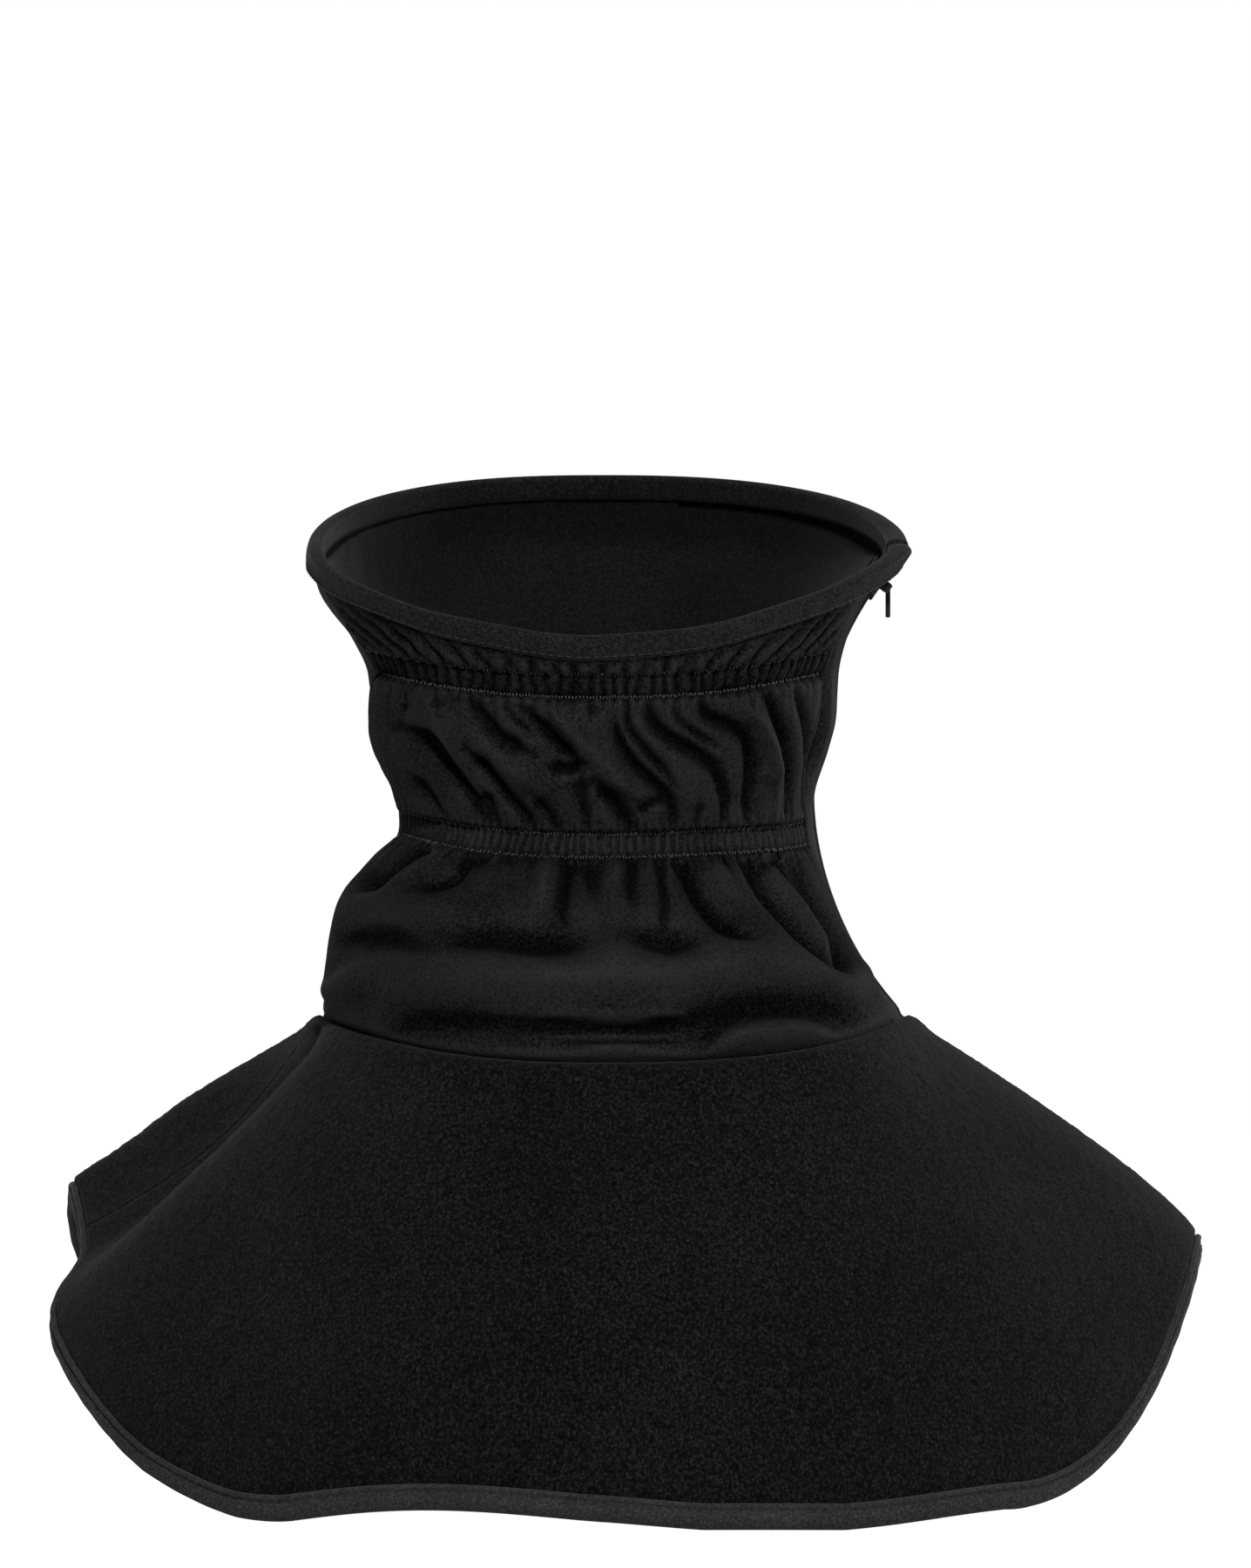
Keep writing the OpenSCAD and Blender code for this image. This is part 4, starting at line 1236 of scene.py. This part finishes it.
def build_pull():
    """A flat tab with rounded edges, wider towards its foot, hung on the slider's pin by its eye."""
    length = PIN[2] - side("zip_pull", 0, 2)
    eye_r, above_pin, half_thick = 0.8, 1.5, 0.7
    t = 2 * np.pi * np.arange(64) / 64
    down = (length - above_pin) / 2 - (length + above_pin) / 2 * np.cos(t)
    down = np.clip(down, -above_pin, length)
    wide = (1.4 + 0.8 * smooth(down / (length * 0.55))) * power(np.sin(t), 0.42)
    outer = np.stack([wide, -down], -1)
    eye = eye_r * np.stack([np.sin(t), np.cos(t)], -1)
    layers = [(0.25, -half_thick), (0.06, -0.6), (0.0, -0.35), (0.0, 0.35), (0.06, 0.6), (0.25, half_thick)]
    rings = [(outer - unit(outer) * inset, x) for inset, x in layers]
    rings += [(eye, half_thick), (eye, -half_thick)]
    sections = [PIN + np.insert(ring, 0, x, axis=1) for ring, x in rings]
    sweep("zip_pull_tab", sections, METAL, ring=True, body="pull", nodes=("zip_pull",))


def build_stops():
    """The two stops above the slider, one beside each coil row, and the wide one at the zip's foot."""
    layers = [(0.1, 0.0), (0.0, 0.3), (0.0, 1.2), (0.3, 1.6)]

    def block(name, node, half_wide, shift):
        low, high = zip_angles(node)
        half = math.radians(high - low) * ZIP_R / 2
        outline = rounded_outline(half, half_wide, 0, 4, shift=(0, shift))
        return pillow(name, outline, layers, (low + high) / 2, 1.9, COIL)

    parts = [block("stop_part", "zip_top_stops", 1.0, shift) for shift in (-1.65, 1.65)]
    join_pieces("zip_top_stop_blocks", parts, "zip_top_stops")
    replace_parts(block("zip_bottom_stop_block", "zip_bottom_stop", 2.6, 0), "zip_bottom_stop")


# ---------------- build everything

build_channel_stitches(*build_back_panel())
build_smooth_panel("side_panel_cloth", RIGHT_SEAM - 0.1, "zip", 48, "side_panel_right")
build_smooth_panel("front_panel_right_cloth", "zip", NOSE + 0.05, 170, "front_panel_right")
build_smooth_panel("front_panel_left_cloth", NOSE - 0.05, LEFT_SEAM + 0.1, 190, "front_panel_left")
build_lining("back_lining_cloth", LEFT_SEAM, RIGHT_SEAM, 150, "back_lining")
build_lining("front_lining_cloth", 15.0, LEFT_SEAM, 190, "front_lining")
build_top_band()
build_bib("back_bib_fleece", 180.0, "back_bib")
build_bib("front_bib_fleece", 0.0, "front_bib")
build_hem_binding()

build_tape("zip_tape_back_strip", -1, "zip_tape_back")
build_tape("zip_tape_front_strip", 1, "zip_tape_front")
build_coil("zip_coil_back_row", -1, "zip_coil_back")
build_coil("zip_coil_front_row", 1, "zip_coil_front")
build_slider()
build_pull()
build_stops()

# CAD nodes whose shape is right keep it and take a finished material.
for node, material in (("zip_guard", LINING), ("upper_elastic", ELASTIC), ("lower_elastic", ELASTIC)):
    mesh = frame["nodes"][node].data
    mesh.materials.clear()
    mesh.materials.append(material)

# ---------------- floor, light and camera


def build_stage():
    """A pale floor, overlit to near white where the camera sees it, so that it meets the white background."""
    bpy.ops.mesh.primitive_circle_add(vertices=96, radius=9.0, fill_type="NGON", location=(0, 0, -0.0005))
    floor = bpy.context.object
    floor.name = "floor"
    paint = Shader("floor_paint")
    seen = paint.node("LightPath").outputs["Is Camera Ray"]
    paint.set(Base_Color=(0.85, 0.85, 0.85, 1), Roughness=0.9, Specular_IOR_Level=0.1,
              Emission_Color=(1, 1, 1, 1), Emission_Strength=paint.math("MULTIPLY", seen, 1.0))
    floor.data.materials.append(paint.mat)


def area_light(name, place, target, size, power_w):
    light = bpy.data.lights.new(name, "AREA")
    light.shape = "RECTANGLE"
    light.size, light.size_y = size
    light.energy = power_w
    obj = bpy.data.objects.new(name, light)
    obj.location = place
    obj.rotation_euler = (Vector(target) - Vector(place)).to_track_quat("-Z", "Y").to_euler()
    bpy.context.scene.collection.objects.link(obj)


def build_world():
    world = bpy.data.worlds.new("studio")
    bpy.context.scene.world = world
    world.use_nodes = True
    tree = world.node_tree
    back = tree.nodes["Background"]
    path = tree.nodes.new("ShaderNodeLightPath")
    strength = tree.nodes.new("ShaderNodeMath")
    strength.operation = "MULTIPLY_ADD"
    tree.links.new(path.outputs["Is Camera Ray"], strength.inputs[0])
    strength.inputs[1].default_value = 0.95
    strength.inputs[2].default_value = 0.05
    back.inputs["Color"].default_value = (1, 1, 1, 1)
    tree.links.new(strength.outputs[0], back.inputs["Strength"])


def build_camera():
    """Level, straight behind the wearer, with a long lens. The picture is 1436 by 1800 and 453 mm high."""
    tall, distance, sensor = 0.4535, 8.0, 36.0
    data = bpy.data.cameras.new("camera")
    data.sensor_width = sensor
    data.lens = sensor * distance / tall
    camera = bpy.data.objects.new("camera", data)
    camera.location = (0.007, -distance - 0.02, 0.2128)
    camera.rotation_euler = (math.radians(90), 0, 0)
    bpy.context.scene.collection.objects.link(camera)
    bpy.context.scene.camera = camera


build_stage()
build_world()
# Each light: name, place, target, size and power in watts.
for light in (("key", (0.15, -1.9, 1.4), (0, 0, 0.14), (0.45, 0.35), 25),
              ("fill", (1.2, -1.3, 0.6), (0, 0, 0.15), (0.5, 0.6), 1.2),
              ("side", (1.6, 0.7, 0.5), (0, 0, 0.2), (0.8, 1.2), 6),
              ("far_side", (-1.6, 0.4, 0.4), (0, 0, 0.17), (0.6, 1.0), 1.2),
              ("over", (0.0, 0.1, 1.7), (0, 0, 0.15), (1.0, 0.8), 2.5),
              ("rim", (-0.2, 1.8, 0.9), (0, 0, 0.18), (1.6, 1.2), 2)):
    area_light(*light)
build_camera()
bpy.context.scene.view_settings.view_transform = "Standard"
